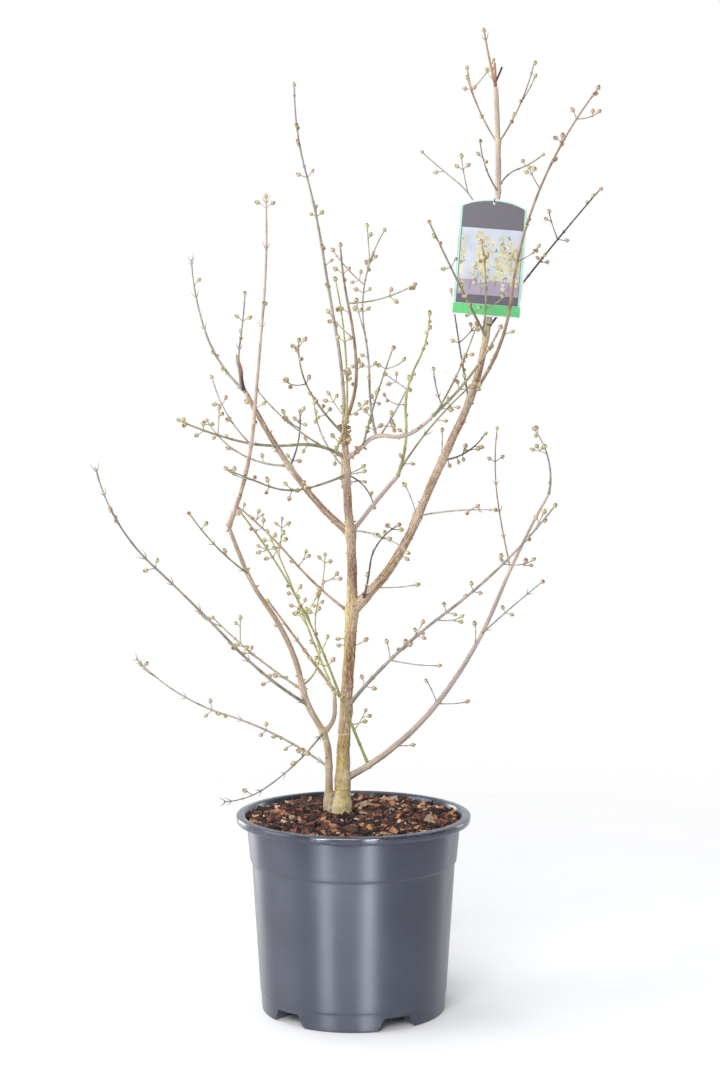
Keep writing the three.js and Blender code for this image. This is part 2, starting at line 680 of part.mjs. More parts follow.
function makeBough(name, limb) {
  let shape = fitted(limbTube(limb), [limb]);
  if (!limb.on) shape = shape.subtract(box(CUT, CUT, CUT, FOOT.x, FOOT.y, SOIL.top + GAP - CUT / 2));
  return piece(name, shape, BARK);
}

function makeMass(name, stems) {
  let shape = limbTube(stems[0]);
  for (const stem of stems.slice(1)) shape = shape.add(limbTube(stem));
  for (const stem of stems) {
    for (const twig of budStem(name, stem)) shape = shape.add(twig);
  }
  return piece(`twigs_${name}`, fitted(shape, stems), TWIG);
}

const plant = new THREE.Group();
plant.add(makePot(), makeSoil(), makeLabel(), makeTie());
for (const [name, limb] of Object.entries(boughs)) plant.add(makeBough(name, limb));
for (const [name, stems] of Object.entries(masses)) plant.add(makeMass(name, stems));

export default plant;
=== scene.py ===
import math

import bpy
import numpy as np
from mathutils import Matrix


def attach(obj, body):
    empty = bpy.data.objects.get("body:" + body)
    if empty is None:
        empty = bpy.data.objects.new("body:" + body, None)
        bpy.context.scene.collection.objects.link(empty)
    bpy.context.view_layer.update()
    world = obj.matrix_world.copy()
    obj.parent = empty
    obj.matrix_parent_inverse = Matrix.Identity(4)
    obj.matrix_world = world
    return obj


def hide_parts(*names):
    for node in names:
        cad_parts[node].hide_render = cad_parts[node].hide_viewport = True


# Potted cornelian cherry: a young bare shrub with round flower buds, in a grown-on nursery pot.
# Shapes are worked out in millimetres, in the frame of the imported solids, and made in metres.

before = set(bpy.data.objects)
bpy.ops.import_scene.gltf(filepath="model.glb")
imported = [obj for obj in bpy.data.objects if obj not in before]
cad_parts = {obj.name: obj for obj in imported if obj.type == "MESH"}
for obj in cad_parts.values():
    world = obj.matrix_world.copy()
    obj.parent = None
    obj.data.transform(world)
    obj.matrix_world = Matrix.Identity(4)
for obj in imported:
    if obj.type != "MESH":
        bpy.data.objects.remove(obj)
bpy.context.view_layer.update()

MM = 0.001
FULL_TURN = 2 * math.pi

# Pot, soil and label sizes
POT = dict(height=245, lip_radius=149, lip_depth=10, collar_top=136, collar_foot=131, collar_z=186.5,
           body_top=129, body_foot=116.5, wall=2.5, floor_z=16, floor_thick=2.5)
POT_PROFILE = dict(corner=2.4, step=6, sharp=38)
DRAINS = dict(count=5, first=-44.5, width=55, height=16, corner=5, slope=4.5, inner=72)
SOIL_TOP = 241.6
SOIL_RADIUS = 132.4
# Radii from the middle outwards, each with the soil's mean height there
SOIL_FALL = [(0, SOIL_TOP), (58, SOIL_TOP), (88, 240.8), (116, 239), (SOIL_RADIUS, 237)]
LABEL = dict(width=89, height=149, arch=10, crown=1, thick=0.8, corner=5, hole_radius=1.8, hole_drop=4,
             turn=4.4, at=np.array([180, 11, 1024.3]))
LABEL_ROOM = dict(below=12, beside=8, behind=2)

# Trunk foot and flare
FOOT = np.array([-14, 16, SOIL_TOP - 8])
FLARE = dict(extra=3, reach=14)


def stem(on, at, lean, back, length, thick, habit=None, tone=None):
    """A limb's values by their names."""
    return dict(on=on, at=at, lean=lean, back=back, length=length, thick=thick, habit=habit, tone=tone)


# The second stem's own foot on the soil, left of the trunk's
FOOT_LEFT = FOOT + np.array([-20, 0, 0])


# Each limb starts on another one at a share of its length, and turns as it grows.
# lean: degrees from upright towards +X, evenly spaced from foot to tip; back: degrees towards +Y.
# thick: diameters, evenly spaced from foot to tip.
BOUGHS = {
    "trunk": stem(None, 0, [-1, 4, 3, -5, -1], [-3, -2, 0], 508,
                  [18.5, 16, 15, 16.5, 13, 11.5, 8]),
    "stem_left": stem("trunk", 0.04, [-40, 4, -33, -10, -24, -35, -21, -19], [-10, -13, -19], 405,
                      [12, 9.5, 8.5, 7, 6]),
    "fork_left": stem("stem_left", 0.25, [56, 3, -10], [-8, 41], 60, [6, 4.6]),
    "foot_left": stem(None, 0, [4, 3], [-7, -8], 56, [12, 10.5]),
    "bough_left": stem("trunk", 0.72, [-51, -35, -28], [15, 23], 240, [10, 8.5, 7]),
    "bough_right": stem("trunk", 0.53, [49, 23, 26, 6], [-4, 4, 4], 410, [13, 11.5, 9.5]),
    "leader": stem("bough_right", 1, [8, -4], [4, -3], 305, [9, 7.5, 6]),
    "bough_right_low": stem("trunk", 0.1, [65, 40, 24, 31], [7, 18, 13], 475, [10, 8.5, 6.5, 4]),
    "bough_right_second": stem("trunk", 0.72, [38, 43], [26, 26], 105, [5.6, 5]),
    "arm_right": stem("trunk", 0.91, [62, 42, 101, 59, 40], [-18, -17], 135, [6, 4.2]),
}

# How a mass is budded. gap: distance between its pairs of spurs; bare: share of spurs that are missing;
# twigs: share that are side twigs rather than short stalks; reach: length of such a twig.
HABITS = {
    "open": dict(gap=64, bare=0.15, twigs=0.55, reach=40),
    "busy": dict(gap=52, bare=0.2, twigs=0.3, reach=28),
    "plain": dict(gap=90, bare=0.25, twigs=0.1, reach=22),
    "stub": dict(gap=math.inf, bare=1, twigs=0, reach=0),
}

# Each mass is one main stem, then side stems that start on it.
MASSES = {
    "top_tall": [stem("trunk", 1, [0, -10, -9, -15, 0], [13, 3], 445, [5, 1.8], "open", "grey")],
    "top_brown": [
        stem("trunk", 1, [27, -2, -12, -4], [-30, -25, -18], 245, [5, 2.4], "open", "brown"),
        stem("main", 0.7, [90, 60], [-10, -10], 85, [2.2, 1.4], "open", "olive")],
    "top_front": [stem("trunk", 0.97, [-45, -30, 5], [-55, -50], 220, [3, 1.6], "busy", "olive")],
    "top_left": [
        stem("trunk", 0.91, [-50, -95, -75, -65], [-35, -15], 235, [4.5, 2.2], "plain", "olive"),
        stem("main", 0.08, [25, 0, -5, -12], [-25, -20], 235, [3.2, 1.8], "busy", "green"),
        stem("main", 0.15, [-60, -40], [-15, 30], 115, [2.4, 1.6], "busy", "olive"),
        stem("main", 0.6, [-45, -30, -15], [-10, 15], 95, [2, 1.4], "plain", "grey")],
    "top_back": [stem("trunk", 0.88, [-50, -35, -5], [75, 50], 205, [2.6, 1.6], "busy", "grey")],
    "left_sag": [stem("trunk", 0.87, [-112, -100, -63, -63], [-48, -55], 232, [3, 1.6], "busy", "olive")],
    "right_droop": [stem("trunk", 0.73, [85, 100, 125], [-60, -70], 170, [2.2, 1.4], "plain", "grey")],
    "back_droop": [stem("trunk", 0.87, [115, 170], [70, 60], 155, [2.2, 1.4], "busy", "dark")],
    "right_mid": [stem("trunk", 0.28, [35, 50, 35], [-30, -25], 415, [5, 2.2], "open", "grey")],
    "left_brown": [stem("trunk", 0.52, [-60, -45, -55], [45, 40], 270, [3.6, 2.2], "open", "brown")],
    "left_high": [
        stem("bough_left", 1, [-50, -20, -5], [25, 25], 220, [3.8, 1.8], "plain", "grey"),
        stem("main", 0.04, [-10, 10, 5], [-30, -30], 140, [3, 1.6], "plain", "grey"),
        stem("main", 0.02, [-10, -12], [5, 0], 48, [5, 3], "stub", "dead")],
    "left_under": [stem("bough_left", 0.51, [-95, -65, -35], [45, 45], 185, [3, 1.6], "busy", "olive")],
    "left_inner": [stem("bough_left", 0.5, [25, -10], [60, 65], 150, [2.4, 1.5], "busy", "dark")],
    "left_leader": [stem("stem_left", 1, [23, 5, 5, -2], [-16, -4, 0], 410, [6, 3.6, 2.2], "plain", "pink")],
    "fork_shoots": [
        stem("fork_left", 1, [-42, -42], [45, 45], 185, [4.4, 2.6], "plain", "brown"),
        stem("main", 0.02, [-25, -22, -27], [28, 15], 225, [3, 1.8], "busy", "green")],
    "low_left_back": [stem("stem_left", 0.13, [-60, -80, -50], [35, 37], 360, [3.2, 1.6], "plain", "grey")],
    "low_left_front": [
        stem("stem_left", 0.25, [-135, -125, -115, -80], [-60, -45], 220, [2.6, 1.4], "plain", "grey")],
    "far_left": [
        stem("stem_left", 0.35, [-55, -40, -45, -12], [-30, -20, -10], 435, [4.2, 1.8], "plain", "grey")],
    "far_left_back": [stem("stem_left", 0.4, [-65, -55], [45, 55], 225, [3, 1.8], "busy", "olive")],
    "left_riser": [stem("stem_left", 0.42, [65, -18, 17, 0], [42, 42], 215, [2.4, 1.4], "busy", "green")],
    "left_out": [stem("stem_left", 0.83, [-45, -25], [-57, -57], 195, [2.4, 1.4], "plain", "olive")],
    "right_rider": [
        stem("bough_right", 0.77, [37, 5, 21, 37], [-26, -18], 435, [5, 3.4, 2.2], "busy", "brown")],
    "right_dark": [stem("bough_right", 0.98, [38, 43], [27, 41], 305, [3.2, 1.8], "open", "dark")],
    "right_front": [
        stem("bough_right", 0.96, [-32, -28], [-55, -42], 235, [3.6, 2], "busy", "olive"),
        stem("main", 0.06, [5, -10], [-60, -15], 140, [2.6, 1.6], "busy", "olive")],
    "label_back": [stem("bough_right", 0.75, [-8, -6], [42, 32], 180, [2.6, 1.6], "busy", "dark")],
    "crotch": [stem("bough_right", 0.05, [12, 5, 55], [-64, -50], 220, [3, 1.6], "plain", "dark")],
    "right_up": [stem("bough_right", 0.55, [92, 40], [64, 60], 150, [2.6, 1.6], "busy", "dark")],
    "right_level": [stem("bough_right", 0.36, [70, 85], [-61, -61], 185, [2.4, 1.4], "plain", "grey")],
    "arm_tip": [
        stem("arm_right", 1, [48, 26], [-13, -13], 140, [4, 2.4], "busy", "olive"),
        stem("main", 0.04, [30, 15], [-32, -48], 150, [2.6, 1.6], "busy", "olive"),
        stem("main", 0.12, [-25, -5], [-40, -20], 55, [2, 1.4], "plain", "grey")],
    "arm_tall": [
        stem("arm_right", 0.38, [-14, 0, -10, 10, 30], [38, 42, 24], 345, [3.6, 2.4, 1.6], "open", "grey"),
        stem("main", 0.74, [-50, -35], [10, 10], 62, [1.8, 1.4], "open", "grey")],
    "arm_front": [stem("arm_right", 0.22, [13, 19], [-45, -58], 205, [2.6, 1.6], "busy", "olive")],
    "arm_back": [stem("arm_right", 0.42, [38, 26], [66, 60], 195, [2.4, 1.5], "busy", "grey")],
    "right_second": [
        stem("bough_right_second", 1, [21, -4, 29, 1], [24, 33], 250, [4.4, 2], "busy", "green"),
        stem("main", 0.03, [32, 49], [10, 16], 145, [2.8, 1.8], "plain", "olive"),
        stem("main", 0.5, [-55, -55], [20, 20], 35, [1.8, 1.4], "plain", "grey")],
    "right_low_tip": [stem("bough_right_low", 1, [15, -35], [30, 30], 100, [3.2, 1.6], "busy", "grey")],
    "right_low_side": [stem("bough_right_low", 0.56, [40, 42], [-45, -50], 155, [2.4, 1.4], "plain", "grey")],
    "right_low_up": [
        stem("bough_right_low", 0.76, [-10, -6, 8], [53, 23], 230, [2.4, 1.5], "plain", "brown")],
    "green_front": [
        stem("bough_right_low", 0.08, [-22, -19, -26, -34], [-14, -38, -40], 450, [3.8, 2], "busy", "green")],
    "leader_top": [
        stem("leader", 1, [-15, -10], [-12, -7], 70, [3.4, 2.2], "plain", "brown"),
        stem("main", 0.02, [0, -6], [-22, -12], 30, [3.8, 3], "stub", "raw"),
        stem("main", 0.06, [28, 20], [8, 5], 24, [3, 2.4], "stub", "dead")],
    "leader_left": [stem("leader", 0.76, [-31, -6], [32, 36], 135, [2.4, 1.5], "open", "brown")],
    "leader_right": [stem("leader", 0.76, [35, 12], [-42, -39], 130, [2.4, 1.5], "open", "brown")],
    "leader_low_left": [stem("leader", 0.56, [-45, -13], [-62, -62], 130, [2.4, 1.5], "busy", "grey")],
    "leader_low_right": [stem("leader", 0.56, [17, 67, 49], [46, 49], 130, [2.4, 1.5], "open", "grey")],
    "leader_back": [stem("leader", 0.25, [-12, -14, -48, -43], [30, 40], 225, [2.6, 1.5], "open", "grey")],
}

# Spurs: stalks and twigs that end in a round bud. A spur leaves its stem at an angle (open), and a twig
# bends upwards (lift) half way.
BUD = dict(radius=3.2, length=6.5)
STALK = dict(length=7, radius=0.9)
SPUR = dict(open=55, lift=0.8, radius=1, jitter=30, sizes=(0.7, 1.3), shift=(0.3, 0.7))
TWIG_FROM = 19.5
FOOT_FREE = 26
TIP_FREE = 12
SEED = 1801
ROOM = dict(others=3.5, own=1, root=6)
TRAIL_STEP = 4
STEPS = 24

# Finer growth than the solids have: nodes between their pairs of spurs
NODE_GAP = 24
FINE_SEED = 77
FINE = dict(bud=0.26, spike=0.34, side_bud=0.75, spike_length=3.4)
FINE_PLAIN = dict(bud=0.12, spike=0.6, spike_length=8.5)
BARE_TIPS = ("left_high", "low_left_back", "low_left_front", "far_left")
TIP_SPIKE = 11

# Corners round a tube or a turned body
SIDES = dict(stem=9, spur=6, spike=5, stub=6, bud=8, pot=168, soil=180)

# Helpers


def lerp(a, b, share):
    """From a to b by a share of the way: a + (b - a) share."""
    return a + (b - a) * share


def along(values, share):
    """Reads an evenly spaced list at a share of the way: straight lines between its values."""
    return np.interp(share, np.linspace(0, 1, len(values)), values)


def unit(vectors):
    """Vectors divided by their lengths."""
    return vectors / np.linalg.norm(vectors, axis=-1, keepdims=True)


def heading(lean, back):
    """Direction of a lean and a back angle: (sin lean cos back, sin back, cos lean cos back)."""
    a, b = np.radians(lean), np.radians(back)
    return np.stack([np.sin(a) * np.cos(b), np.sin(b), np.cos(a) * np.cos(b)], axis=-1)


def smooth_step(x, low, high):
    """0 below low and 1 above high, and 3 t^2 - 2 t^3 between them, with t the share of the way."""
    t = np.clip((x - low) / (high - low), 0, 1)
    return t * t * (3 - 2 * t)


def angles(count):
    """Angles evenly spaced round a full turn."""
    return np.arange(count) * FULL_TURN / count


def run_along(points):
    """The length along a line at each of its points."""
    return np.concatenate([[0], np.cumsum(np.linalg.norm(np.diff(points, axis=0), axis=1))])


def turning(limb, count):
    """A limb's directions at the middles of equal steps, read from its lean and back."""
    middles = (np.arange(count) + 0.5) / count
    return heading(along(limb["lean"], middles), along(limb["back"], middles))


def laid_out(foot, ways, length):
    """The points of a line that goes from a foot by equal steps along the given directions."""
    return np.vstack([foot, foot + np.cumsum(ways * (length / len(ways)), axis=0)])


class Lot:
    """Numbers from 0 to 1 in a fixed order: each state is the last one times 48271, modulo 2^31 - 1."""

    def __init__(self, seed):
        self.state = seed

    def draw(self):
        """The next number."""
        self.state = (self.state * 48271) % 2147483647
        return self.state / 2147483647


# Growth: the rule that the solids follow


class Route:
    """A centre line of short straight steps along the given directions, with a crosswise direction that is
    carried from step to step without twisting."""

    def __init__(self, foot, length, ways):
        self.length = length
        self.ways = ways
        self.points = laid_out(foot, ways, length)
        start = np.array([0, 1, 0]) if abs(ways[0][1]) < 0.9 else np.array([1, 0, 0])
        side = np.cross(start, ways[0])
        self.sides = []
        for way in ways:
            side = unit(side - way * np.dot(side, way))
            self.sides.append(side)

    def at(self, share):
        """Point, direction and two crosswise directions at a share of the way, straight on past the ends."""
        place = min(max(share, 0), 1) * len(self.ways)
        i = max(math.ceil(place) - 1, 0)
        past = (share - min(max(share, 0), 1)) * self.length
        point = lerp(self.points[i], self.points[i + 1], place - i) + self.ways[i] * past
        return point, self.ways[i], self.sides[i], np.cross(self.sides[i], self.ways[i])


def grow(spec, foot):
    """A limb laid out from its foot, with its centre line."""
    return dict(spec, foot=foot, route=Route(foot, spec["length"], turning(spec, STEPS)))


def limb_radius(limb, share):
    """Half the thickness read along the limb, plus a flare that dies away exponentially from the foot."""
    flare = limb.get("flare", 0) * np.exp(-share * limb["length"] / FLARE["reach"])
    return along(limb["thick"], share) / 2 + flare


def trail(route, radius):
    """Points along a centre line, about every 4 mm, each with its radius, as rows of x, y, z, r."""
    count = math.ceil(route.length / TRAIL_STEP)
    shares = [i / count for i in range(count + 1)]
    return np.array([[*route.at(s)[0], float(radius(s))] for s in shares])


class Clearance:
    """The places that are taken, each with its owner, so that a spur can keep clear of them."""

    def __init__(self):
        self.rows = []
        self.owners = []

    def take(self, owner, rows):
        """Adds an owner's points, each with its radius, to the places that are taken."""
        self.rows.append(rows)
        self.owners.append(np.full(len(rows), owner))

    def hits_label(self, rows):
        """Whether a point, with its radius and the room round it, is in the box kept free for the label."""
        at, margin = LABEL["at"], rows[:, 3] + ROOM["others"]
        high = rows[:, 2] < at[2] + LABEL["arch"] + margin
        low = rows[:, 2] > at[2] - LABEL["height"] - LABEL_ROOM["below"] - margin
        wide = np.abs(rows[:, 0] - at[0]) < LABEL["width"] / 2 + LABEL_ROOM["beside"] + margin
        deep = np.abs(rows[:, 1] - at[1]) < LABEL_ROOM["behind"] + margin
        return np.any(high & low & wide & deep)

    def is_clear(self, owner, rows):
        """No point is in the label's place or below the pot's rim, nearer than 3.5 mm to another owner's
        point, or, once it is 6 mm beyond its root, nearer than 1 mm to its own stem's."""
        if self.hits_label(rows) or np.any(rows[:, 2] < POT["height"] + rows[:, 3] + ROOM["others"]):
            return False
        others = np.vstack(self.rows)
        own = np.concatenate(self.owners) == owner
        distance = np.linalg.norm(rows[:, None, :3] - others[None, :, :3], axis=2)
        reach = rows[:, None, 3] + others[None, :, 3]
        root = np.linalg.norm(rows[:, :3] - rows[0, :3], axis=1)[:, None] > others[None, :, 3] + ROOM["root"]
        near_others = ~own[None, :] & (distance <= reach + ROOM["others"])
        near_own = own[None, :] & root & (distance <= reach + ROOM["own"])
        return not np.any(near_others | near_own)


def spur_route(limb, share, turn, length):
    """A spur's centre line: it opens 55 degrees from its stem, and a twig turns upwards half way."""
    point, way, side, other = limb["route"].at(share)
    turn, opening = math.radians(turn), math.radians(SPUR["open"])
    start = way * math.cos(opening) + (side * math.cos(turn) + other * math.sin(turn)) * math.sin(opening)
    ways = [start]
    if length > TWIG_FROM:
        ways.append(unit(start + np.array([0, 0, SPUR["lift"]])))
    return Route(point, length + float(limb_radius(limb, share)), np.array(ways))


def try_spur(room, owner, limb, share, turn, length):
    """Lays out one spur, or gives None where it would touch something or leave its space."""
    route = spur_route(limb, share, turn, length)
    is_twig = len(route.ways) > 1
    thick = SPUR["radius"] if is_twig else STALK["radius"]
    bud_foot = route.length - BUD["length"]
    rows = trail(route, lambda s: BUD["radius"] if s * route.length > bud_foot else thick)
    if not room.is_clear(owner, rows):
        return None
    room.take(owner, rows)
    return dict(route=route, is_twig=is_twig, radius=thick)


def bud_stem(room, lot, owner, limb):
    """The spurs of one stem: opposite pairs, each pair turned a quarter from the last."""
    habit = HABITS[limb["habit"]]
    free = limb["length"] - FOOT_FREE - TIP_FREE
    pairs = max(0, math.floor(free / habit["gap"] + 0.5))
    first_turn = 90 * math.floor(lot.draw() + 0.5)
    spurs, nodes = [], []
    for i in range(pairs):
        share = (FOOT_FREE + free * (i + lerp(*SPUR["shift"], lot.draw())) / pairs) / limb["length"]
        nodes.append(share)
        for half in (0, 180):
            turn = first_turn + 90 * i + half + SPUR["jitter"] * (lot.draw() - 0.5)
            is_twig = lot.draw() < habit["twigs"]
            size = lerp(*SPUR["sizes"], lot.draw())
            is_bare = lot.draw() < habit["bare"]
            length = BUD["length"] + (habit["reach"] if is_twig else STALK["length"]) * size
            if not is_bare:
                spurs.append(try_spur(room, owner, limb, share, turn, length))
    limb["nodes"] = nodes
    return [spur for spur in spurs if spur]


def fine_nodes(room, lot, owner, limb):
    """Finer growth: a node about every 24 mm between the pairs, with two short stalks, spikes or scars."""
    count = max(1, round(limb["length"] / NODE_GAP))
    fine = FINE_PLAIN if limb["habit"] == "plain" else FINE
    spurs, spikes = [], []
    for i in range(count):
        share = (i + 0.35 + 0.3 * lot.draw()) / count
        if min((abs(share - s) for s in limb["nodes"]), default=1) * limb["length"] < NODE_GAP / 2:
            continue
        limb["nodes"].append(share)
        kind = lot.draw()
        for half in (0, 180):
            turn = 90 * i + half + SPUR["jitter"] * (lot.draw() - 0.5)
            size = lerp(*SPUR["sizes"], lot.draw())
            if kind < fine["bud"]:
                spurs.append(try_spur(room, owner, limb, share, turn, BUD["length"] + STALK["length"] * size))
            elif kind < fine["bud"] + fine["spike"]:
                spikes.append((share, turn, fine["spike_length"] * size))
    return [spur for spur in spurs if spur], spikes


# Surfaces


def frames(ways):
    """Two crosswise directions for each direction: the one nearest to +Y, or to +X where the line runs
    along Y, made square to it, and the cross product of the two."""
    steep = np.abs(ways[:, 1:2]).max() > 0.97
    start = np.array([1.0, 0, 0]) if steep else np.array([0, 1.0, 0])
    side = unit(start - ways * (ways @ start)[:, None])
    return side, np.cross(side, ways)


def ring_faces(rings, sides):
    """Triangles of a closed tube of rings, and of a fan round a pole at each end."""
    i, j = np.indices((rings - 1, sides))
    a, b = i * sides + j, i * sides + (j + 1) % sides
    wall = np.stack([a, b, b + sides, a, b + sides, a + sides], axis=-1).reshape(-1, 3)
    j = np.arange(sides)
    first, last = rings * sides, rings * sides + 1
    low = np.stack([np.full(sides, first), (j + 1) % sides, j], axis=-1)
    top = (rings - 1) * sides
    high = np.stack([np.full(sides, last), top + j, top + (j + 1) % sides], axis=-1)
    return np.vstack([wall, low, high])


def swept(points, radius, sides):
    """A closed tube: P(s, a) = C(s) + R(s, a) (cos a U(s) + sin a V(s)), with U and V square to the centre
    line C. Also gives, for each vertex, the place that it would have on the same tube laid straight."""
    ways = unit(np.gradient(points, axis=0))
    u, v = frames(ways)
    angle = angles(sides)
    radius = np.broadcast_to(np.asarray(radius, float).reshape(len(points), -1), (len(points), sides))
    x, y = radius * np.cos(angle), radius * np.sin(angle)
    rings = points[:, None] + x[..., None] * u[:, None] + y[..., None] * v[:, None]
    run = run_along(points)
    straight = np.stack([np.broadcast_to(run[:, None], x.shape), x, y], axis=-1)
    verts = np.vstack([rings.reshape(-1, 3), points[:1], points[-1:]])
    grain = np.vstack([straight.reshape(-1, 3), [[0, 0, 0]], [[run[-1], 0, 0]]])
    faces = ring_faces(len(points), sides)
    if np.dot(np.cross(u[0], v[0]), ways[0]) < 0:
        faces = faces[:, ::-1]
    return verts, faces, grain


class Heap:
    """Gathers closed surfaces of one kind and makes a single piece of them."""

    def __init__(self):
        self.verts, self.faces, self.marks, self.count = [], [], {}, 0

    def add(self, verts, faces, **marks):
        """Adds a surface, with values for its points by their names."""
        self.verts.append(verts)
        self.faces.append(faces + self.count)
        self.count += len(verts)
        for key, values in marks.items():
            self.marks.setdefault(key, []).append(values)

    def mesh(self, name):
        """The surfaces as one mesh in metres, with their marks as point attributes."""
        verts = (np.vstack(self.verts) * MM).astype(np.float32)
        faces = np.vstack(self.faces).astype(np.int32)
        mesh = bpy.data.meshes.new(name)
        mesh.vertices.add(len(verts))
        mesh.vertices.foreach_set("co", verts.ravel())
        mesh.loops.add(faces.size)
        mesh.loops.foreach_set("vertex_index", faces.ravel())
        mesh.polygons.add(len(faces))
        mesh.polygons.foreach_set("loop_start", np.arange(0, faces.size, 3, dtype=np.int32))
        mesh.polygons.foreach_set("use_smooth", np.ones(len(faces), dtype=bool))
        mesh.update(calc_edges=True)
        for key, values in self.marks.items():
            values = np.concatenate(values).astype(np.float32)
            kind = "FLOAT_VECTOR" if values.ndim > 1 else "FLOAT"
            mark = mesh.attributes.new(key, kind, "POINT")
            mark.data.foreach_set("vector" if values.ndim > 1 else "value", values.ravel())
        return mesh

    def piece(self, name, finish, slot, replaces=(), sharp=None):
        """One mesh object at the origin, its place in its mesh. Edges over sharp degrees are crisp."""
        mesh = self.mesh(name)
        if sharp is not None:
            mesh.set_sharp_from_angle(angle=math.radians(sharp))
        mesh.validate()
        mesh.materials.append(finish)
        piece = bpy.data.objects.new(name, mesh)
        bpy.context.scene.collection.objects.link(piece)
        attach(piece, "root")
        if replaces:
            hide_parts(*replaces)
        return piece


# Finishes


def tint(red, green, blue):
    """A colour given as 0 to 255 screen values, as the linear values that a shader takes."""
    c = np.array([red, green, blue]) / 255
    linear = np.where(c <= 0.04045, c / 12.92, ((c + 0.055) / 1.055) ** 2.4)
    return (*(float(x) for x in linear), 1.0)


def darker(colour, share):
    """A colour times a share."""
    return tuple(c * share for c in colour)


def set_inputs(node, values):
    """Sets a node's inputs by their names."""
    for key, value in values.items():
        node.inputs[key].default_value = value


MIX_SOCKETS = (0, 6, 7)  # a mix node's factor and its two colours


class Nodes:
    """A node tree under construction."""

    def __init__(self, owner):
        owner.use_nodes = True
        self.tree = owner.node_tree

    def node(self, kind, **settings):
        """A new node with its settings."""
        made = self.tree.nodes.new(kind)
        for key, value in settings.items():
            setattr(made, key, value)
        return made

    def link(self, source, target):
        """Joins an output to an input."""
        self.tree.links.new(source, target)

    def ranged(self, value, low, high, first=0, last=1):
        """From first to last as the value goes from low to high, as a smooth step."""
        ranged = self.node("ShaderNodeMapRange", interpolation_type="SMOOTHSTEP")
        set_inputs(ranged, {"From Min": low, "From Max": high, "To Min": first, "To Max": last})
        self.link(value, ranged.inputs["Value"])
        return ranged.outputs["Result"]


class Finish(Nodes):
    """A node material under construction. Colours are given as 0 to 255 screen values."""

    def __init__(self, name, roughness, specular):
        self.material = bpy.data.materials.new(name)
        super().__init__(self.material)
        self.shader = self.tree.nodes["Principled BSDF"]
        set_inputs(self.shader, {"Roughness": roughness, "Specular IOR Level": specular})

    def mark(self, name, output="Fac"):
        """A value that the mesh carries at its points."""
        return self.node("ShaderNodeAttribute", attribute_name=name).outputs[output]

    def place(self):
        """Metres in the frame, as the pieces' origins are the frame's."""
        return self.node("ShaderNodeTexCoord").outputs["Object"]

    def height(self):
        """Metres above the floor."""
        parts = self.node("ShaderNodeSeparateXYZ")
        self.link(self.place(), parts.inputs[0])
        return parts.outputs["Z"]

    def noise(self, vector, scale, detail=4, roughness=0.6, distortion=0):
        """Noise from 0 to 1 at a place, with the scale in patches for each unit."""
        noise = self.node("ShaderNodeTexNoise")
        set_inputs(noise, dict(Scale=scale, Detail=detail, Roughness=roughness, Distortion=distortion))
        self.link(vector, noise.inputs["Vector"])
        return noise.outputs["Fac"]

    def drawn_out(self, vector, stretch, detail, roughness, distortion=0, scale=1):
        """Noise whose scale is its own in each direction, for streaks and rings."""
        mapping = self.node("ShaderNodeMapping")
        set_inputs(mapping, {"Scale": stretch})
        self.link(vector, mapping.inputs["Vector"])
        return self.noise(mapping.outputs["Vector"], scale, detail, roughness, distortion)

    def spots(self, vector, scale, low, high):
        """1 near scattered points, fading to 0 between the two distances from them."""
        cells = self.node("ShaderNodeTexVoronoi")
        set_inputs(cells, {"Scale": scale})
        self.link(vector, cells.inputs["Vector"])
        return self.ranged(cells.outputs["Distance"], low, high, 1, 0)

    def maths(self, operation, a, b):
        """A sum worked out from two values, of which the second may be a plain number."""
        node = self.node("ShaderNodeMath", operation=operation)
        self.link(a, node.inputs[0])
        if isinstance(b, float):
            node.inputs[1].default_value = b
        else:
            self.link(b, node.inputs[1])
        return node.outputs[0]

    def times(self, a, b):
        """The product of two values."""
        return self.maths("MULTIPLY", a, b)

    def blend(self, first, share, second):
        """The first value by its share plus the second by the rest."""
        return self.maths("ADD", self.times(first, share), self.times(second, round(1 - share, 2)))

    def ramp(self, value, *stops):
        """A colour read from a value, by stops of (position, colour)."""
        ramp = self.node("ShaderNodeValToRGB")
        elements = ramp.color_ramp.elements
        for _ in stops[2:]:
            elements.new(0.5)
        for element, (position, colour) in zip(elements, stops):
            element.position = position
            element.color = tint(*colour)
        self.link(value, ramp.inputs["Fac"])
        return ramp.outputs["Color"]

    def mixed(self, factor, first, second):
        """The first colour passing into the second, which may be a plain one, by a factor."""
        mix = self.node("ShaderNodeMix", data_type="RGBA")
        at, a, b = (mix.inputs[i] for i in MIX_SOCKETS)
        self.link(factor, at)
        self.link(first, a)
        if isinstance(second, tuple):
            b.default_value = tint(*second)
        else:
            self.link(second, b)
        return mix.outputs[2]

    def colour(self, value):
        """Gives the surface its colour."""
        self.link(value, self.shader.inputs["Base Color"])

    def roughen(self, value):
        """Gives the surface its roughness."""
        self.link(value, self.shader.inputs["Roughness"])

    def bump(self, height, strength, distance):
        """Small relief by shading, from a height in shares of a distance."""
        bump = self.node("ShaderNodeBump")
        set_inputs(bump, {"Strength": strength, "Distance": distance})
        self.link(height, bump.inputs["Height"])
        self.link(bump.outputs["Normal"], self.shader.inputs["Normal"])


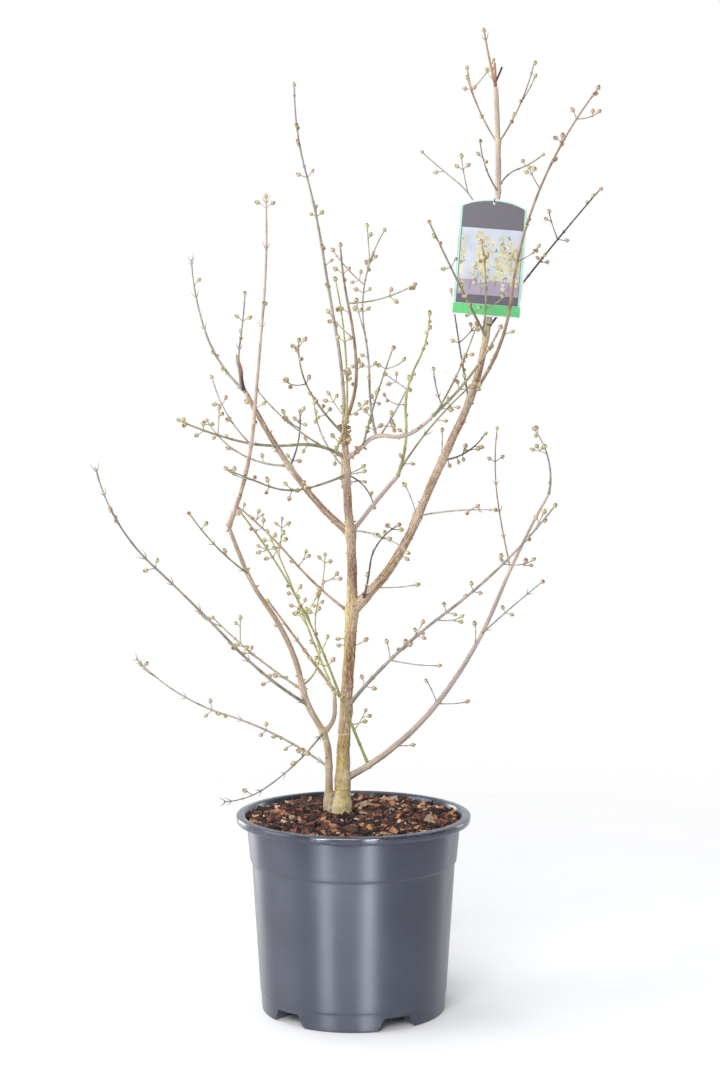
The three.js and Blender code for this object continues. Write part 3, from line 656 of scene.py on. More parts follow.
def bark_finish(name, dark, middle, light, crack_shade=0.45, upper=None):
    """Fissured bark: long streaks and fine fibres along the limb between three colours, darkened by painted
    shade in the fissures where the relief is low, with golden algae and rusty patches, and pale worn skin,
    where the marks say. Upper gives three colours that take over above the height of half a metre."""
    finish = Finish(name, 0.75, 0.35)
    grain = finish.mark("grain", "Vector")
    algae = finish.mark("algae")
    streaks = finish.drawn_out(grain, (0.035, 0.6, 0.6), 4, 0.62, 0.5)
    fibres = finish.drawn_out(grain, (0.12, 1.9, 1.9), 3, 0.6, 0.3)
    level = finish.blend(streaks, 0.6, fibres)
    wood = finish.ramp(level, (0.36, dark), (0.49, middle), (0.64, light))
    if upper:
        young = finish.ramp(level, *zip((0.36, 0.5, 0.66), upper))
        wood = finish.mixed(finish.ranged(finish.height(), 0.5, 0.57), wood, young)
    # Painted shade: the colour is darkened towards a dimmed dark tone where the relief is low, in the
    # fissures
    low = finish.ranged(finish.mark("relief"), 0.1, 0.7, crack_shade, 0)
    wood = finish.mixed(low, wood, darker(dark, 0.6))
    patch = finish.drawn_out(grain, (0.06, 0.2, 0.2), 4, 0.65, 0.6)
    green = finish.times(algae, finish.ranged(patch, 0.36, 0.58, 0.15, 0.9))
    wood = finish.mixed(green, wood, finish.ramp(fibres, (0.35, (146, 126, 54)), (0.62, (230, 213, 116))))
    rust = finish.drawn_out(grain, (0.05, 0.3, 0.3), 2, 0.5, 1.5)
    rusty = finish.times(algae, finish.ranged(rust, 0.6, 0.7, 0, 0.55))
    wood = finish.mixed(rusty, wood, (206, 134, 78))
    worn = finish.times(finish.mark("worn"), finish.ranged(fibres, 0.36, 0.58, 0.3, 1))
    finish.colour(finish.mixed(worn, wood, (222, 206, 184)))
    depth = 0.5 if crack_shade > 0.3 else 0.1
    finish.bump(finish.drawn_out(grain, (0.5, 2.2, 2.2), 4, 0.65), depth, 0.0005)
    return finish.material


def twig_finish(name, colour, shade):
    """Smooth young bark: one plain colour that drifts slowly along the twig, with small corky dots."""
    finish = Finish(name, 0.5, 0.45)
    tone = finish.ramp(finish.noise(finish.place(), 55, 3, 0.55), (0.36, shade), (0.6, colour))
    dots = finish.spots(finish.place(), 330, 0.08, 0.2)
    finish.colour(finish.mixed(finish.times(dots, 0.1), tone, (206, 194, 166)))
    return finish.material


def grained_finish(name, gloss, colours, noise, bump):
    """Plain grained stuff, such as bud scales, chips and soil: colours at places along one noise, which also
    makes its bump. gloss: roughness and specular level."""
    finish = Finish(name, *gloss)
    grain = finish.noise(finish.place(), *noise)
    finish.colour(finish.ramp(grain, *colours))
    finish.bump(grain, *bump)
    return finish.material


def bud_finish(name, colour):
    """Bud scales: one plain colour with a faint fuzz."""
    shades = [(0.35, darker(colour, 0.84)), (0.65, colour)]
    return grained_finish(name, (0.5, 0.4), shades, (700, 3, 0.6), (0.2, 0.0003))


# Limbs with bark relief


def waves(rng, run, angle, count, around, lengths):
    """Sum of count cosines cos(k a + 2 pi s / w + p), with k whole numbers round the limb and w lengths
    along it, scaled to about -1 to 1. Whole k keep it seamless round the limb."""
    total = np.zeros((len(run), len(angle)))
    for _ in range(count):
        k = rng.integers(around[0], around[1] + 1) * rng.choice([-1, 1])
        w = rng.uniform(*lengths)
        total += np.cos(k * angle[None, :] + FULL_TURN * run[:, None] / w + rng.uniform(0, FULL_TURN))
    return total / math.sqrt(count)


def dome(run, length, radius):
    """Rounds a limb's tip: the radius falls as a quarter ellipse over its last part."""
    reach = 0.8 * radius
    t = np.clip((run - (length - reach)) / reach, 0, 1)
    return np.sqrt(np.clip(1 - t * t, 0.0025, 1))


def fine_line(limb, step):
    """A limb's centre line in many short steps, as smooth as its turning, or the line that it was given."""
    if "line" in limb:
        return np.linspace(0, 1, len(limb["line"])), limb["line"]
    count = max(STEPS, math.ceil(limb["length"] / step))
    return np.linspace(0, 1, count + 1), laid_out(limb["foot"], turning(limb, count), limb["length"])


def with_own_foot(low, high):
    """A stem whose own foot stands on the soil: its foot's line up to a height, the stem's line from a gap
    above that, and both evened out by a running mean. Its thickness runs from the foot's into the stem's."""
    (_, below), (shares, above) = fine_line(low, BARK_STEP), fine_line(high, BARK_STEP)
    joint = low["foot"][2] + OWN_FOOT["joint"] * low["length"]
    foot = below[below[:, 2] < joint]
    kept = above[:, 2] > joint + OWN_FOOT["gap"]
    line = np.vstack([foot, above[kept]])
    run = run_along(line)
    even = np.linspace(0, run[-1], round(run[-1] / BARK_STEP))
    thick = np.concatenate([np.full(len(foot), low["thick"][0]), 2 * limb_radius(high, shares[kept])])
    reach = OWN_FOOT["evened"]
    mean = np.ones(2 * reach + 1) / (2 * reach + 1)
    rows = [np.interp(even, run, row) for row in (*line.T, thick)]
    for row in rows:
        row[reach:-reach] = np.convolve(row, mean, "valid")
    return dict(high, on=None, line=np.stack(rows[:3], axis=1), length=float(run[-1]), thick=list(rows[3]))


def swelling(run, nodes, height, width):
    """Sum of bell curves at the given lengths."""
    return sum((height * np.exp(-((run - n) / width) ** 2) for n in nodes), np.zeros(len(run)))


# Bark: the step along a limb, how a second stem runs on from its own foot, and the sizes of the relief
BARK_STEP = 1.1
OWN_FOOT = dict(joint=0.7, gap=16, evened=12)
RELIEF = dict(swell=0.05, fissure=0.55, grit=0.18, joint=0.14, scar=0.08, scar_width=1.3, foot=0.35)
FISSURED = ("trunk", "bough_left", "bough_right")
SCARS = 7
ROOT_SWELL = dict(extra=2.4, reach=34)
# Factors on the thickness of a bough's bark, evenly spaced from foot to tip
SLIM = {
    "trunk": [1, 1, 0.94, 0.88, 0.88, 0.88], "bough_left": [0.86, 0.86], "stem_left": [0.86, 0.83, 0.8],
    "bough_right": [0.95, 0.86], "bough_right_low": [0.86, 0.75, 0.75],
}
# Old knots in the bark: their places and sizes. Those on the facing sides of the two stems close their foot.
KNOTS = {
    "trunk": [((-15.5, 5, 254), 4.5), ((-6.6, 5, 293), 6), ((-3, 8, 307), 5), ((-17, 4, 318), 3),
              ((-8, 6, 522), 3), ((-23.5, 13, 245), 9), ((-22.5, 12, 254), 9), ((-21.5, 12, 263), 8)],
    "stem_left": [((-34, 6, 262), 3), ((-27, 12, 245), 9), ((-27, 11, 254), 9), ((-27, 10, 263), 8)],
}
KNOT = dict(height=0.28, hollow=0.9, hollow_reach=0.45)
# Share of algae low down and at a bough's foot
ALGAE = {"trunk": (1, 1), "stem_left": (0.25, 0.6), "bough_right": (0.3, 0.9), "bough_left": (0, 0.4)}
OTHER_ALGAE = (0.1, 0.2)
# Heights between which the algae thin out, low down and at the forks, and those between which a band of them
# on the trunk's left side comes in and goes out again
ALGAE_LOW = (262, 400)
ALGAE_FORKS = (530, 600)
ALGAE_BAND = (360, 440, 590, 650)
# A pale line across the trunk: its height, its slant and its width
PALE_LINE = dict(z=345, slant=0.1, width=0.9)


def bark_radius(rng, name, limb, shares, joints, spring):
    """A bark's radius round each point of its limb, and its relief: radius times (1 + a slow swell) plus
    plates parted by fissures, which run where a sum of waves crosses zero. It swells at its joints, has
    raised rings at its bud scars, and widens where it springs from its parent."""
    scars = [limb["length"] * (i + 0.3 + 0.4 * rng.uniform()) / SCARS for i in range(SCARS)]
    sides = 60 if name == "trunk" else int(np.clip(round(limb["thick"][0] * 4), 22, 44))
    depth = (0.036 if name in FISSURED else 0.011) * limb["thick"][0]
    run = shares * limb["length"]
    angle = angles(sides)
    radius = limb_radius(limb, shares) * along(SLIM.get(name, [1, 1]), shares)
    if limb.get("flare"):
        radius = radius + ROOT_SWELL["extra"] * np.exp(-run / ROOT_SWELL["reach"])
    swell = RELIEF["swell"] * waves(rng, run, angle, 9, (1, 3), (30, 120))
    plates = waves(rng, run, angle, 14, (3, max(5, sides // 4)), (9, 48))
    relief = 1 - np.exp(-(plates / RELIEF["fissure"]) ** 2)
    grit = waves(rng, run, angle, 16, (4, sides // 3), (2.5, 9))
    joint = swelling(run, joints, RELIEF["joint"], 1.2 * radius.mean())
    scar = swelling(run, scars, RELIEF["scar"], RELIEF["scar_width"])
    foot = (RELIEF["foot"] if limb["on"] else 0) * np.exp(-np.clip(run - spring, 0, None) / (0.9 * radius[0]))
    outside = radius[:, None] * (1 + swell + (joint + scar + foot)[:, None])
    outside = outside + depth * (relief - 0.6) + RELIEF["grit"] * depth * grit
    return outside * dome(run, limb["length"], radius[-1])[:, None], relief


def bark_limb(rng, name, limb, spots, spring):
    """A bough with its bark, swept along its line, and healed knots. With d the distance from a knot in knot
    sizes, it lifts the bark by height size (exp(-d^2) - hollow exp(-(d / reach)^2)): a ring with a hollow."""
    shares, points = fine_line(limb, BARK_STEP)
    nearest = [float(np.argmin(np.linalg.norm(points - spot, axis=1))) for spot in spots]
    joints = [place * limb["length"] / (len(points) - 1) for place in nearest]
    joints = [joint for joint in joints if 8 < joint < limb["length"] - 4]
    outside, relief = bark_radius(rng, name, limb, shares, joints, spring)
    sides = outside.shape[1]
    verts, faces, grain = swept(points, outside, sides)
    out = unit(verts[:-2] - np.repeat(points, sides, axis=0) + 1e-9)
    for spot, size in KNOTS.get(name, []):
        distance = np.linalg.norm(verts[:-2] - np.array(spot, float), axis=1) / size
        hollow = KNOT["hollow"] * np.exp(-(distance / KNOT["hollow_reach"]) ** 2)
        verts[:-2] += out * (KNOT["height"] * size * (np.exp(-distance ** 2) - hollow))[:, None]
    ends = [relief[0].mean(), relief[-1].mean()]
    return verts, faces, grain, np.concatenate([relief.ravel(), ends])


def near(verts, spots, reach):
    """1 at the given points, falling off round them as a bell curve: exp(-(distance / reach)^2)."""
    distance = np.linalg.norm(verts[:, None] - np.asarray(spots)[None], axis=2).min(axis=1)
    return np.exp(-(distance / reach) ** 2)


def bark_marks(name, limb, verts, spots, bough_feet):
    """Where the bark has algae, and where its skin is worn, from 0 to 1. Algae: low down, at the boughs'
    feet and in a band on the trunk's left. Worn: at the forks, round the knots and in a line on the trunk."""
    z = verts[:, 2]
    at_bough = near(verts, bough_feet, limb["thick"][0]) * (1 - 0.6 * smooth_step(z, *ALGAE_FORKS))
    low_share, fork_share = ALGAE.get(name, OTHER_ALGAE)
    algae = low_share * (1 - smooth_step(z, *ALGAE_LOW)) + fork_share * at_bough
    worn = 0.5 * near(verts, spots, 1.2 * limb["thick"][0] + 5)
    if name == "trunk":
        line = fine_line(limb, BARK_STEP)[1]
        left = np.interp(z, line[:, 2], line[:, 0]) - verts[:, 0]
        band = smooth_step(z, *ALGAE_BAND[:2]) * (1 - smooth_step(z, *ALGAE_BAND[2:]))
        algae = algae + 0.7 * band * smooth_step(left, 1.5, 6)
        away = z - PALE_LINE["z"] - PALE_LINE["slant"] * verts[:, 0]
        worn = worn + np.exp(-(away / PALE_LINE["width"]) ** 2)
    for spot, size in KNOTS.get(name, []):
        distance = np.linalg.norm(verts - np.array(spot, float), axis=1) / size
        worn = worn + 0.8 * np.exp(-((distance - 0.7) / 0.28) ** 2)
    return dict(algae=np.clip(algae, 0, 1), worn=np.clip(worn, 0, 1))


# Twigs, buds and spikes


def bezier(a, b, c, count):
    """Points of the curve (1-t)^2 a + 2 t (1-t) b + t^2 c, which goes from a to c and is drawn towards b."""
    t = np.linspace(0, 1, count)[:, None]
    return (1 - t) ** 2 * a + 2 * t * (1 - t) * b + t ** 2 * c


def twig_tube(limb):
    """A mass's stem: its thickness, a swelling at each node and a slow unevenness, with a rounded tip."""
    shares, points = fine_line(limb, 2)
    run = shares * limb["length"]
    radius = limb_radius(limb, shares)
    uneven = 1 + 0.04 * np.sin(run / 11 + limb["length"])
    nodes = swelling(run, [s * limb["length"] for s in limb["nodes"]], 0.26, 1.6)
    foot = 0.5 * np.exp(-run / (1.5 * limb["parent_radius"]))
    radius = (radius * (uneven + foot) + nodes * np.sqrt(radius)) * dome(run, limb["length"], radius[-1])
    return swept(points, radius, SIDES["stem"])


def split_stub(limb):
    """Raw wood down the side of a dead stub, and its pointed tip: two spindles along the stub's own line,
    radius r sin(pi t)^0.6."""
    t = np.linspace(0, 1, 12)
    spindles = []
    for low, high, wide, beside in ((0.3, 0.8, 2.4, 1.3), (0.55, 1, 2.9, -0.4)):
        points = np.array([limb["route"].at(float(share))[0] for share in lerp(low, high, t)])
        radius = wide * np.sin(math.pi * np.clip(t, 0.03, 0.97)) ** 0.6
        spindles.append(swept(points + np.array([beside, -0.5, 0]), radius, SIDES["stem"]))
    return spindles


def spur_tube(spur):
    """A spur: a curve through its centre line, thicker at its foot and just under its bud."""
    route = spur["route"]
    bud_foot = 1 - BUD["length"] / route.length
    end = route.at(bud_foot)[0]
    middle = route.points[1] if spur["is_twig"] else lerp(route.points[0], end, 0.5)
    count = 12 if spur["is_twig"] else 6
    points = bezier(route.points[0], middle, end, count)
    t = np.linspace(0, 1, count)
    radius = spur["radius"] * (0.62 + 0.55 * np.exp(-t * 6) + 0.35 * smooth_step(t, 0.8, 1))
    if spur["is_twig"]:
        radius = radius + 0.35 * np.exp(-((t - 0.62) / 0.06) ** 2)
    return swept(points, radius, SIDES["spur"])


def spike_tube(limb, share, turn, length):
    """A narrow leaf bud that lies close to its stem: a tapering curve of four rings."""
    point, way, side, other = limb["route"].at(share)
    turn = math.radians(turn)
    across = side * math.cos(turn) + other * math.sin(turn)
    radius = float(limb_radius(limb, share))
    foot = point + across * radius * 0.6
    points = bezier(foot, foot + across * length * 0.3 + way * length * 0.38,
                    foot + across * length * 0.45 + way * length, 4)
    return swept(points, np.array([0.65, 0.6, 0.4, 0.1]), SIDES["spike"])


def stub_tube(rng, line, radius, length, thick):
    """A short blunt stub: a straight tube from under the bark, square to the limb and turned upwards."""
    i = rng.integers(2, len(line) - 2)
    way = unit(line[i + 1] - line[i - 1])
    out = unit(np.cross(way, rng.normal(size=3)))
    out = unit(out + way * rng.uniform(-0.1, 0.7))
    share = np.linspace(0, 1, 5)[:, None]
    points = line[i] + out * (0.5 * radius + share * (length + 0.5 * radius))
    return swept(points, thick * np.array([1.25, 1.05, 0.95, 0.9, 0.55]), SIDES["stub"])


def bud_template(profile, sides):
    """A bud's skin on a grid: radius from the profile's rings, pinched by 9% along four seams."""
    angle = angles(sides)
    heights, radii = np.array(profile).T
    pinch = 1 - 0.09 * np.cos(2 * angle) ** 8
    x = radii[:, None] * np.cos(angle) * pinch
    y = radii[:, None] * np.sin(angle) * pinch
    z = np.broadcast_to(heights[:, None], x.shape)
    rings = np.stack([x, y, z], axis=-1).reshape(-1, 3)
    verts = np.vstack([rings, [[0, 0, heights[0]], [0, 0, heights[-1] + 0.03]]])
    return verts, ring_faces(len(profile), sides)


BUD_RINGS = [(0.0, 0.34), (0.14, 0.72), (0.38, 1.0), (0.64, 0.86), (0.84, 0.46), (0.95, 0.14)]
TIP_RINGS = [(0.76, 0.68), (0.82, 0.56), (0.93, 0.24), (1.0, 0.08)]


def place_all(template, points, ways, radii, lengths, spins):
    """Sets a copy of a template at each point, its z along the way there: one array for all of them."""
    verts, faces = template
    side = unit(np.cross(ways, unit(np.array([0.3, 0.9, 0.25]))))
    other = np.cross(ways, side)
    u = side * np.cos(spins)[:, None] + other * np.sin(spins)[:, None]
    v = np.cross(ways, u)
    x = verts[None, :, :1] * (radii[:, None] * u)[:, None]
    y = verts[None, :, 1:2] * (radii[:, None] * v)[:, None]
    z = verts[None, :, 2:] * (lengths[:, None] * ways)[:, None]
    placed = points[:, None] + x + y + z
    shift = np.arange(len(points))[:, None, None] * len(verts)
    return placed.reshape(-1, 3), (faces[None] + shift).reshape(-1, 3)


# Pot, soil and label


def rounded(profile, radius, steps=4):
    """A profile whose corners are short curves that start and end up to radius away from them."""
    points = [np.array(profile[0], float)]
    for before, corner, after in zip(profile, profile[1:], profile[2:]):
        before, corner, after = (np.array(p, float) for p in (before, corner, after))
        reach = [min(radius, np.linalg.norm(p - corner) * 0.45) for p in (before, after)]
        start = corner + unit(before - corner) * reach[0]
        end = corner + unit(after - corner) * reach[1]
        points.extend(bezier(start, corner, end, steps))
    points.append(np.array(profile[-1], float))
    return np.array(points)


def refined(points, step):
    """The same line with no gap longer than step."""
    run = run_along(points)
    spots = np.unique(np.concatenate([run, np.arange(0, run[-1], step)]))
    return np.stack([np.interp(spots, run, points[:, i]) for i in range(2)], axis=1)


def turned(profile, sides, lift=None):
    """A body turned about Z: P(s, a) = (r(s) cos a, r(s) sin a, z(s)), from pole to pole. lift adds to z."""
    angle = angles(sides)
    r, z = profile[1:-1, 0], profile[1:-1, 1]
    x, y = r[:, None] * np.cos(angle), r[:, None] * np.sin(angle)
    z = np.broadcast_to(z[:, None], x.shape).copy()
    if lift is not None:
        z += lift(x, y, r[:, None])
    poles = [[0, 0, profile[0, 1]], [0, 0, profile[-1, 1]]]
    return np.vstack([np.stack([x, y, z], axis=-1).reshape(-1, 3), poles]), ring_faces(len(r), sides)


def wall_radius(z):
    """The wall's outer radius at a height below the collar, where it widens evenly."""
    return lerp(POT["body_foot"], POT["body_top"], z / POT["collar_z"])


def drain_cutter():
    """Prisms that cut the drains: an outline, narrower at its top, carried out from the inner radius."""
    half, corner, height = DRAINS["width"] / 2, DRAINS["corner"], DRAINS["height"]
    top = half - corner - DRAINS["slope"]
    right = [[half + corner, -corner], [half - corner, corner],
             [top + 0.4, height - 1.5], [top - 1.2, height]]
    left = [[-x, z] for x, z in right]
    arch = np.array(left[:1] + right + left[:0:-1])
    heap = Heap()
    for i in range(DRAINS["count"]):
        turn = math.radians(DRAINS["first"] + 360 * i / DRAINS["count"])
        rings = []
        for out in (DRAINS["inner"], POT["lip_radius"] + 5):
            x, y = arch[:, 0], np.full(len(arch), -float(out))
            rings.append(np.stack([x * math.cos(turn) - y * math.sin(turn),
                                   x * math.sin(turn) + y * math.cos(turn), arch[:, 1]], axis=1))
        verts = np.vstack([*rings, rings[0].mean(axis=0)[None], rings[1].mean(axis=0)[None]])
        heap.add(verts, ring_faces(2, len(arch)))
    return heap


def cut_by(piece, heap):
    """Takes a heap's closed surfaces away from a piece, for good."""
    cutter = heap.piece("cutter", piece.data.materials[0], "pot_plastic")
    cut = piece.modifiers.new("cut", "BOOLEAN")
    cut.operation = "DIFFERENCE"
    cut.object = cutter
    cut.solver = "EXACT"
    graph = bpy.context.evaluated_depsgraph_get()
    mesh = bpy.data.meshes.new_from_object(piece.evaluated_get(graph))
    piece.modifiers.clear()
    old = piece.data
    piece.data = mesh
    bpy.data.meshes.remove(old)
    bpy.data.objects.remove(cutter)
    mesh.polygons.foreach_set("use_smooth", np.ones(len(mesh.polygons), dtype=bool))
    mesh.set_sharp_from_angle(angle=math.radians(POT_PROFILE["sharp"]))
    mesh.name = piece.name


def pot_finish():
    """Slate plastic whose fine rings from the mould draw its highlights out upwards, with pale specks. Its
    lip is rubbed smoother than its wall."""
    finish = Finish("pot plastic", 0.4, 1.0)
    set_inputs(finish.shader, {"Anisotropic": 0.8, "Anisotropic Rotation": 0.25,
                               "Specular Tint": tint(234, 239, 255)})
    finish.link(finish.node("ShaderNodeTangent", direction_type="RADIAL", axis="Z").outputs["Tangent"],
                finish.shader.inputs["Tangent"])
    place = finish.place()
    rings = finish.drawn_out(place, (3, 3, 420), 3, 0.7)
    cloud = finish.noise(place, 11, 4, 0.65)
    skin = finish.ramp(finish.blend(rings, 0.22, cloud), (0.38, (29, 31, 40)), (0.62, (42, 45, 56)))
    dust = finish.spots(place, 95, 0.02, 0.07)
    dusty = finish.times(dust, finish.ranged(finish.noise(place, 24, 2), 0.54, 0.66))
    finish.colour(finish.mixed(finish.times(dusty, 0.6), skin, (168, 164, 158)))
    lip_z = (POT["height"] - POT["lip_depth"]) * MM
    lip = finish.ranged(finish.height(), lip_z - 0.0015, lip_z + 0.0005)
    worn = finish.drawn_out(place, (1, 1, 3), 4, 0.7, scale=70)
    rubbed = finish.times(lip, finish.ranged(worn, 0.35, 0.65, 0.24, 0.06))
    finish.roughen(finish.maths("SUBTRACT", finish.ranged(cloud, 0.3, 0.7, 0.35, 0.43), rubbed))
    finish.bump(finish.maths("ADD", finish.times(rings, 0.25), cloud), 0.1, 0.0006)
    return finish.material


def make_pot():
    """The pot, turned from one profile: up the outside over collar and lip, and down the inside."""
    p = POT
    lip_z = p["height"] - p["lip_depth"]
    floor_top = p["floor_z"] + p["floor_thick"]
    wall = p["wall"]
    outside = [
        (0, 0), (p["body_foot"] - 2.2, 0), (p["body_foot"] - 0.9, 0.8), (wall_radius(22) - 0.9, 22),
        (wall_radius(23.5), 23.5), (p["body_top"] - 0.1, p["collar_z"] - 1.2),
        (p["collar_foot"], p["collar_z"] + 0.6), (p["collar_top"] - 0.4, lip_z + 0.4),
        (p["lip_radius"] - 1, lip_z), (p["lip_radius"], p["height"] - 0.6),
        (p["collar_top"] + 2.6, p["height"] + 0.3),
    ]
    inside = [
        (p["collar_top"] - wall, lip_z - wall), (p["collar_foot"] - wall, p["collar_z"] + 4),
        (wall_radius(p["collar_z"] - 4) - wall, p["collar_z"] - 4),
        (wall_radius(floor_top) - wall, floor_top), (0, floor_top),
    ]
    profile = refined(rounded(outside + inside, POT_PROFILE["corner"]), POT_PROFILE["step"])
    heap = Heap()
    heap.add(*turned(profile, SIDES["pot"]))
    pot = heap.piece("nursery_pot", pot_finish(), "pot_plastic", ["pot"])
    cut_by(pot, drain_cutter())
    return pot


def soil_height(r):
    """The soil's mean height at a radius: level round the trunk and falling to the wall."""
    return np.interp(r, *zip(*SOIL_FALL))


def lumps(rng, x, y, count, sizes):
    """Sum of plane waves cos(kx x + ky y + p) with wavelengths between the two sizes, about -1 to 1."""
    total = np.zeros(np.broadcast(x, y).shape)
    for _ in range(count):
        k, a, p = FULL_TURN / rng.uniform(*sizes), rng.uniform(0, FULL_TURN), rng.uniform(0, FULL_TURN)
        total += np.cos(k * (x * math.cos(a) + y * math.sin(a)) + p)
    return total / math.sqrt(count)


def soil_finish():
    """Dark compost with brown fibres and coarse grain."""
    shades = [(0.36, (20, 17, 16)), (0.54, (46, 36, 31)), (0.7, (104, 76, 60))]
    return grained_finish("potting bark fines", (0.95, 0.2), shades, (190, 6, 0.7), (0.9, 0.003))


def make_soil(rng):
    """The soil, turned from one profile, with its top lifted and sunk by a sum of lumps."""
    floor = POT["floor_z"] + POT["floor_thick"] + 0.3
    rings = np.linspace(SOIL_RADIUS, 2, 56)
    top = np.stack([rings, soil_height(rings)], axis=1)
    step = POT["collar_z"]
    side = np.array([[0, floor], [wall_radius(floor) - 4, floor], [wall_radius(step) - 4.3, step - 4],
                     [POT["collar_foot"] - 4.5, step + 4]])
    profile = np.vstack([side, top, [[0, SOIL_TOP]]])

    def lift(x, y, r):
        """Large and small lumps on the rings of the soil's top."""
        rough = 1.5 * lumps(rng, x, y, 26, (9, 30)) + 0.8 * lumps(rng, x, y, 26, (4, 9))
        return np.where(np.arange(len(r))[:, None] >= len(side) - 1, rough, 0)

    heap = Heap()
    heap.add(*turned(profile, SIDES["soil"], lift))
    return heap.piece("potting_soil", soil_finish(), "substrate", ["soil"])


def chip_finish(name, colour, dark):
    """Bark chips: rough grain between a dark and a light tone."""
    shades = [(0.34, dark), (0.62, colour)]
    return grained_finish(name, (0.85, 0.3), shades, (420, 4, 0.65), (0.6, 0.0008))


# How far the chips' sizes spread, the least and largest, and how far a corner is shifted, in edge lengths
CHIP = dict(spread=0.4, sizes=(1.6, 16), shift=0.2)
# Bark chips: how many are dealt, their mean size, and their light and dark colours
CHIPS = {
    "black": (2400, 3.6, (54, 46, 45), (18, 15, 17)),
    "brown": (1100, 3.9, (104, 72, 58), (46, 31, 30)),
    "plum": (620, 4.1, (138, 88, 74), (70, 42, 41)),
    "orange": (270, 4.7, (200, 144, 102), (122, 78, 56)),
    "pale": (210, 3.9, (226, 194, 164), (156, 118, 94)),
    "flake": (12, 8.5, (194, 168, 138), (120, 94, 76)),
}


def chips(rng, count, mean_size, avoid):
    """Bark chips: each is a box whose eight corners are shifted at random, tilted and laid on the soil. All
    are worked out as one array of corners: centre + turn (size * (corner + shift))."""
    r = SOIL_RADIUS * np.sqrt(rng.uniform(0, 1, count))
    a = rng.uniform(0, FULL_TURN, count)
    size = rng.lognormal(math.log(mean_size), CHIP["spread"], count)[:, None] * np.stack(
        [rng.uniform(0.9, 2.1, count), rng.uniform(0.55, 1.1, count), rng.uniform(0.25, 0.65, count)], axis=1)
    size = np.clip(size, *CHIP["sizes"])
    r = np.clip(r, 0, SOIL_RADIUS - 0.5 * size[:, 0])
    centre = np.stack([r * np.cos(a), r * np.sin(a), soil_height(r) + rng.uniform(-0.8, 2.2, count)], axis=1)
    away = np.linalg.norm(centre[:, None, :2] - avoid[None, :, :2], axis=2)
    kept = (away > avoid[None, :, 2] + 0.4 * size[:, :1]).all(axis=1)
    size, centre, count = size[kept], centre[kept], int(kept.sum())
    square = ((-0.5, -0.5), (0.5, -0.5), (0.5, 0.5), (-0.5, 0.5))
    corners = np.array([[x, y, z] for z in (-0.5, 0.5) for x, y in square])
    shape = (corners[None] + rng.uniform(-CHIP["shift"], CHIP["shift"], (count, 8, 3))) * size[:, None]
    yaw, tilt, roll = rng.uniform(0, FULL_TURN, count), rng.normal(0, 0.35, count), rng.normal(0, 0.4, count)
    turns = turn_about(2, yaw) @ turn_about(1, tilt) @ turn_about(0, roll)
    verts = centre[:, None] + np.einsum("nij,nkj->nki", turns, shape)
    sides = [[0, 1, 5], [0, 5, 4], [1, 2, 6], [1, 6, 5], [2, 3, 7], [2, 7, 6], [3, 0, 4], [3, 4, 7]]
    faces = np.array(sides + [[4, 5, 6], [4, 6, 7], [1, 0, 3], [1, 3, 2]])
    shift = np.arange(count)[:, None, None] * 8
    return verts.reshape(-1, 3), (faces[None] + shift).reshape(-1, 3)


def turn_about(axis, angle):
    """One turn matrix for each angle, about the given axis."""
    made = np.zeros((len(angle), 3, 3))
    i, j = [(1, 2), (2, 0), (0, 1)][axis]
    made[:, axis, axis] = 1
    made[:, i, i] = made[:, j, j] = np.cos(angle)
    made[:, i, j], made[:, j, i] = -np.sin(angle), np.sin(angle)
    return made


def label_outline(side, top, low):
    """The card's outline, drawn in at its sides and top, down to a given height: an arched top whose height
    is crown - drop |x / half|^2.3, and rounded lower corners."""
    half = LABEL["width"] / 2
    x = np.linspace(half - side - 0.8, side + 0.8 - half, 25)
    crown, drop = LABEL["crown"] - top, LABEL["arch"] + LABEL["crown"]
    arch = np.stack([x, crown - drop * np.abs(x / half) ** 2.3], axis=1)
    shoulder = arch[0, 1] - 2.2
    wide, corner = half - side, max(LABEL["corner"] - 1 - side, 0.6)
    low_left = bezier(*np.array([[-wide, low + corner], [-wide, low], [corner - wide, low]], float), 6)
    low_right = low_left[::-1] * np.array([-1, 1])
    return np.vstack([arch, [[-wide, shoulder]], low_left, low_right, [[wide, shoulder]]])


def on_card(points, out):
    """Card places (across, up) and a height out from its middle, as places in the frame."""
    turn = math.radians(LABEL["turn"])
    across, up = points[..., 0], points[..., 1]
    x = across * math.cos(turn) + up * math.sin(turn)
    z = -across * math.sin(turn) + up * math.cos(turn)
    return LABEL["at"] + np.stack([x, np.broadcast_to(-out, x.shape), z], axis=-1)


def plate(outline, back, front, hole=None):
    """A flat closed plate between two heights. Its faces are strips from an inner loop, which is the hole
    or a small loop at the middle, to the outline, and the walls join them."""
    centre = outline.mean(axis=0) if hole is None else np.array([0.0, -LABEL["hole_drop"]])
    offset = outline - centre
    inner = centre + unit(offset) * (hole if hole else 0.01)
    loops = [on_card(inner, back), on_card(inner, front), on_card(outline, front), on_card(outline, back)]
    verts = np.vstack(loops)
    n = len(outline)
    i, j = np.indices((4, n))
    a, b = i * n + j, i * n + (j + 1) % n
    c, d = (i + 1) % 4 * n + (j + 1) % n, (i + 1) % 4 * n + j
    return verts, np.stack([a, b, c, a, c, d], axis=-1).reshape(-1, 3)


def card_finish(name, colour, rough=0.38):
    """Card or cord: one plain colour with a faint cloud, which also shifts its roughness a little."""
    finish = Finish(name, rough, 0.5)
    cloud = finish.noise(finish.place(), 32, 3)
    finish.colour(finish.ramp(cloud, (0.36, darker(colour, 0.9)), (0.64, colour)))
    finish.roughen(finish.ranged(cloud, 0.3, 0.7, rough - 0.05, rough + 0.08))
    return finish.material


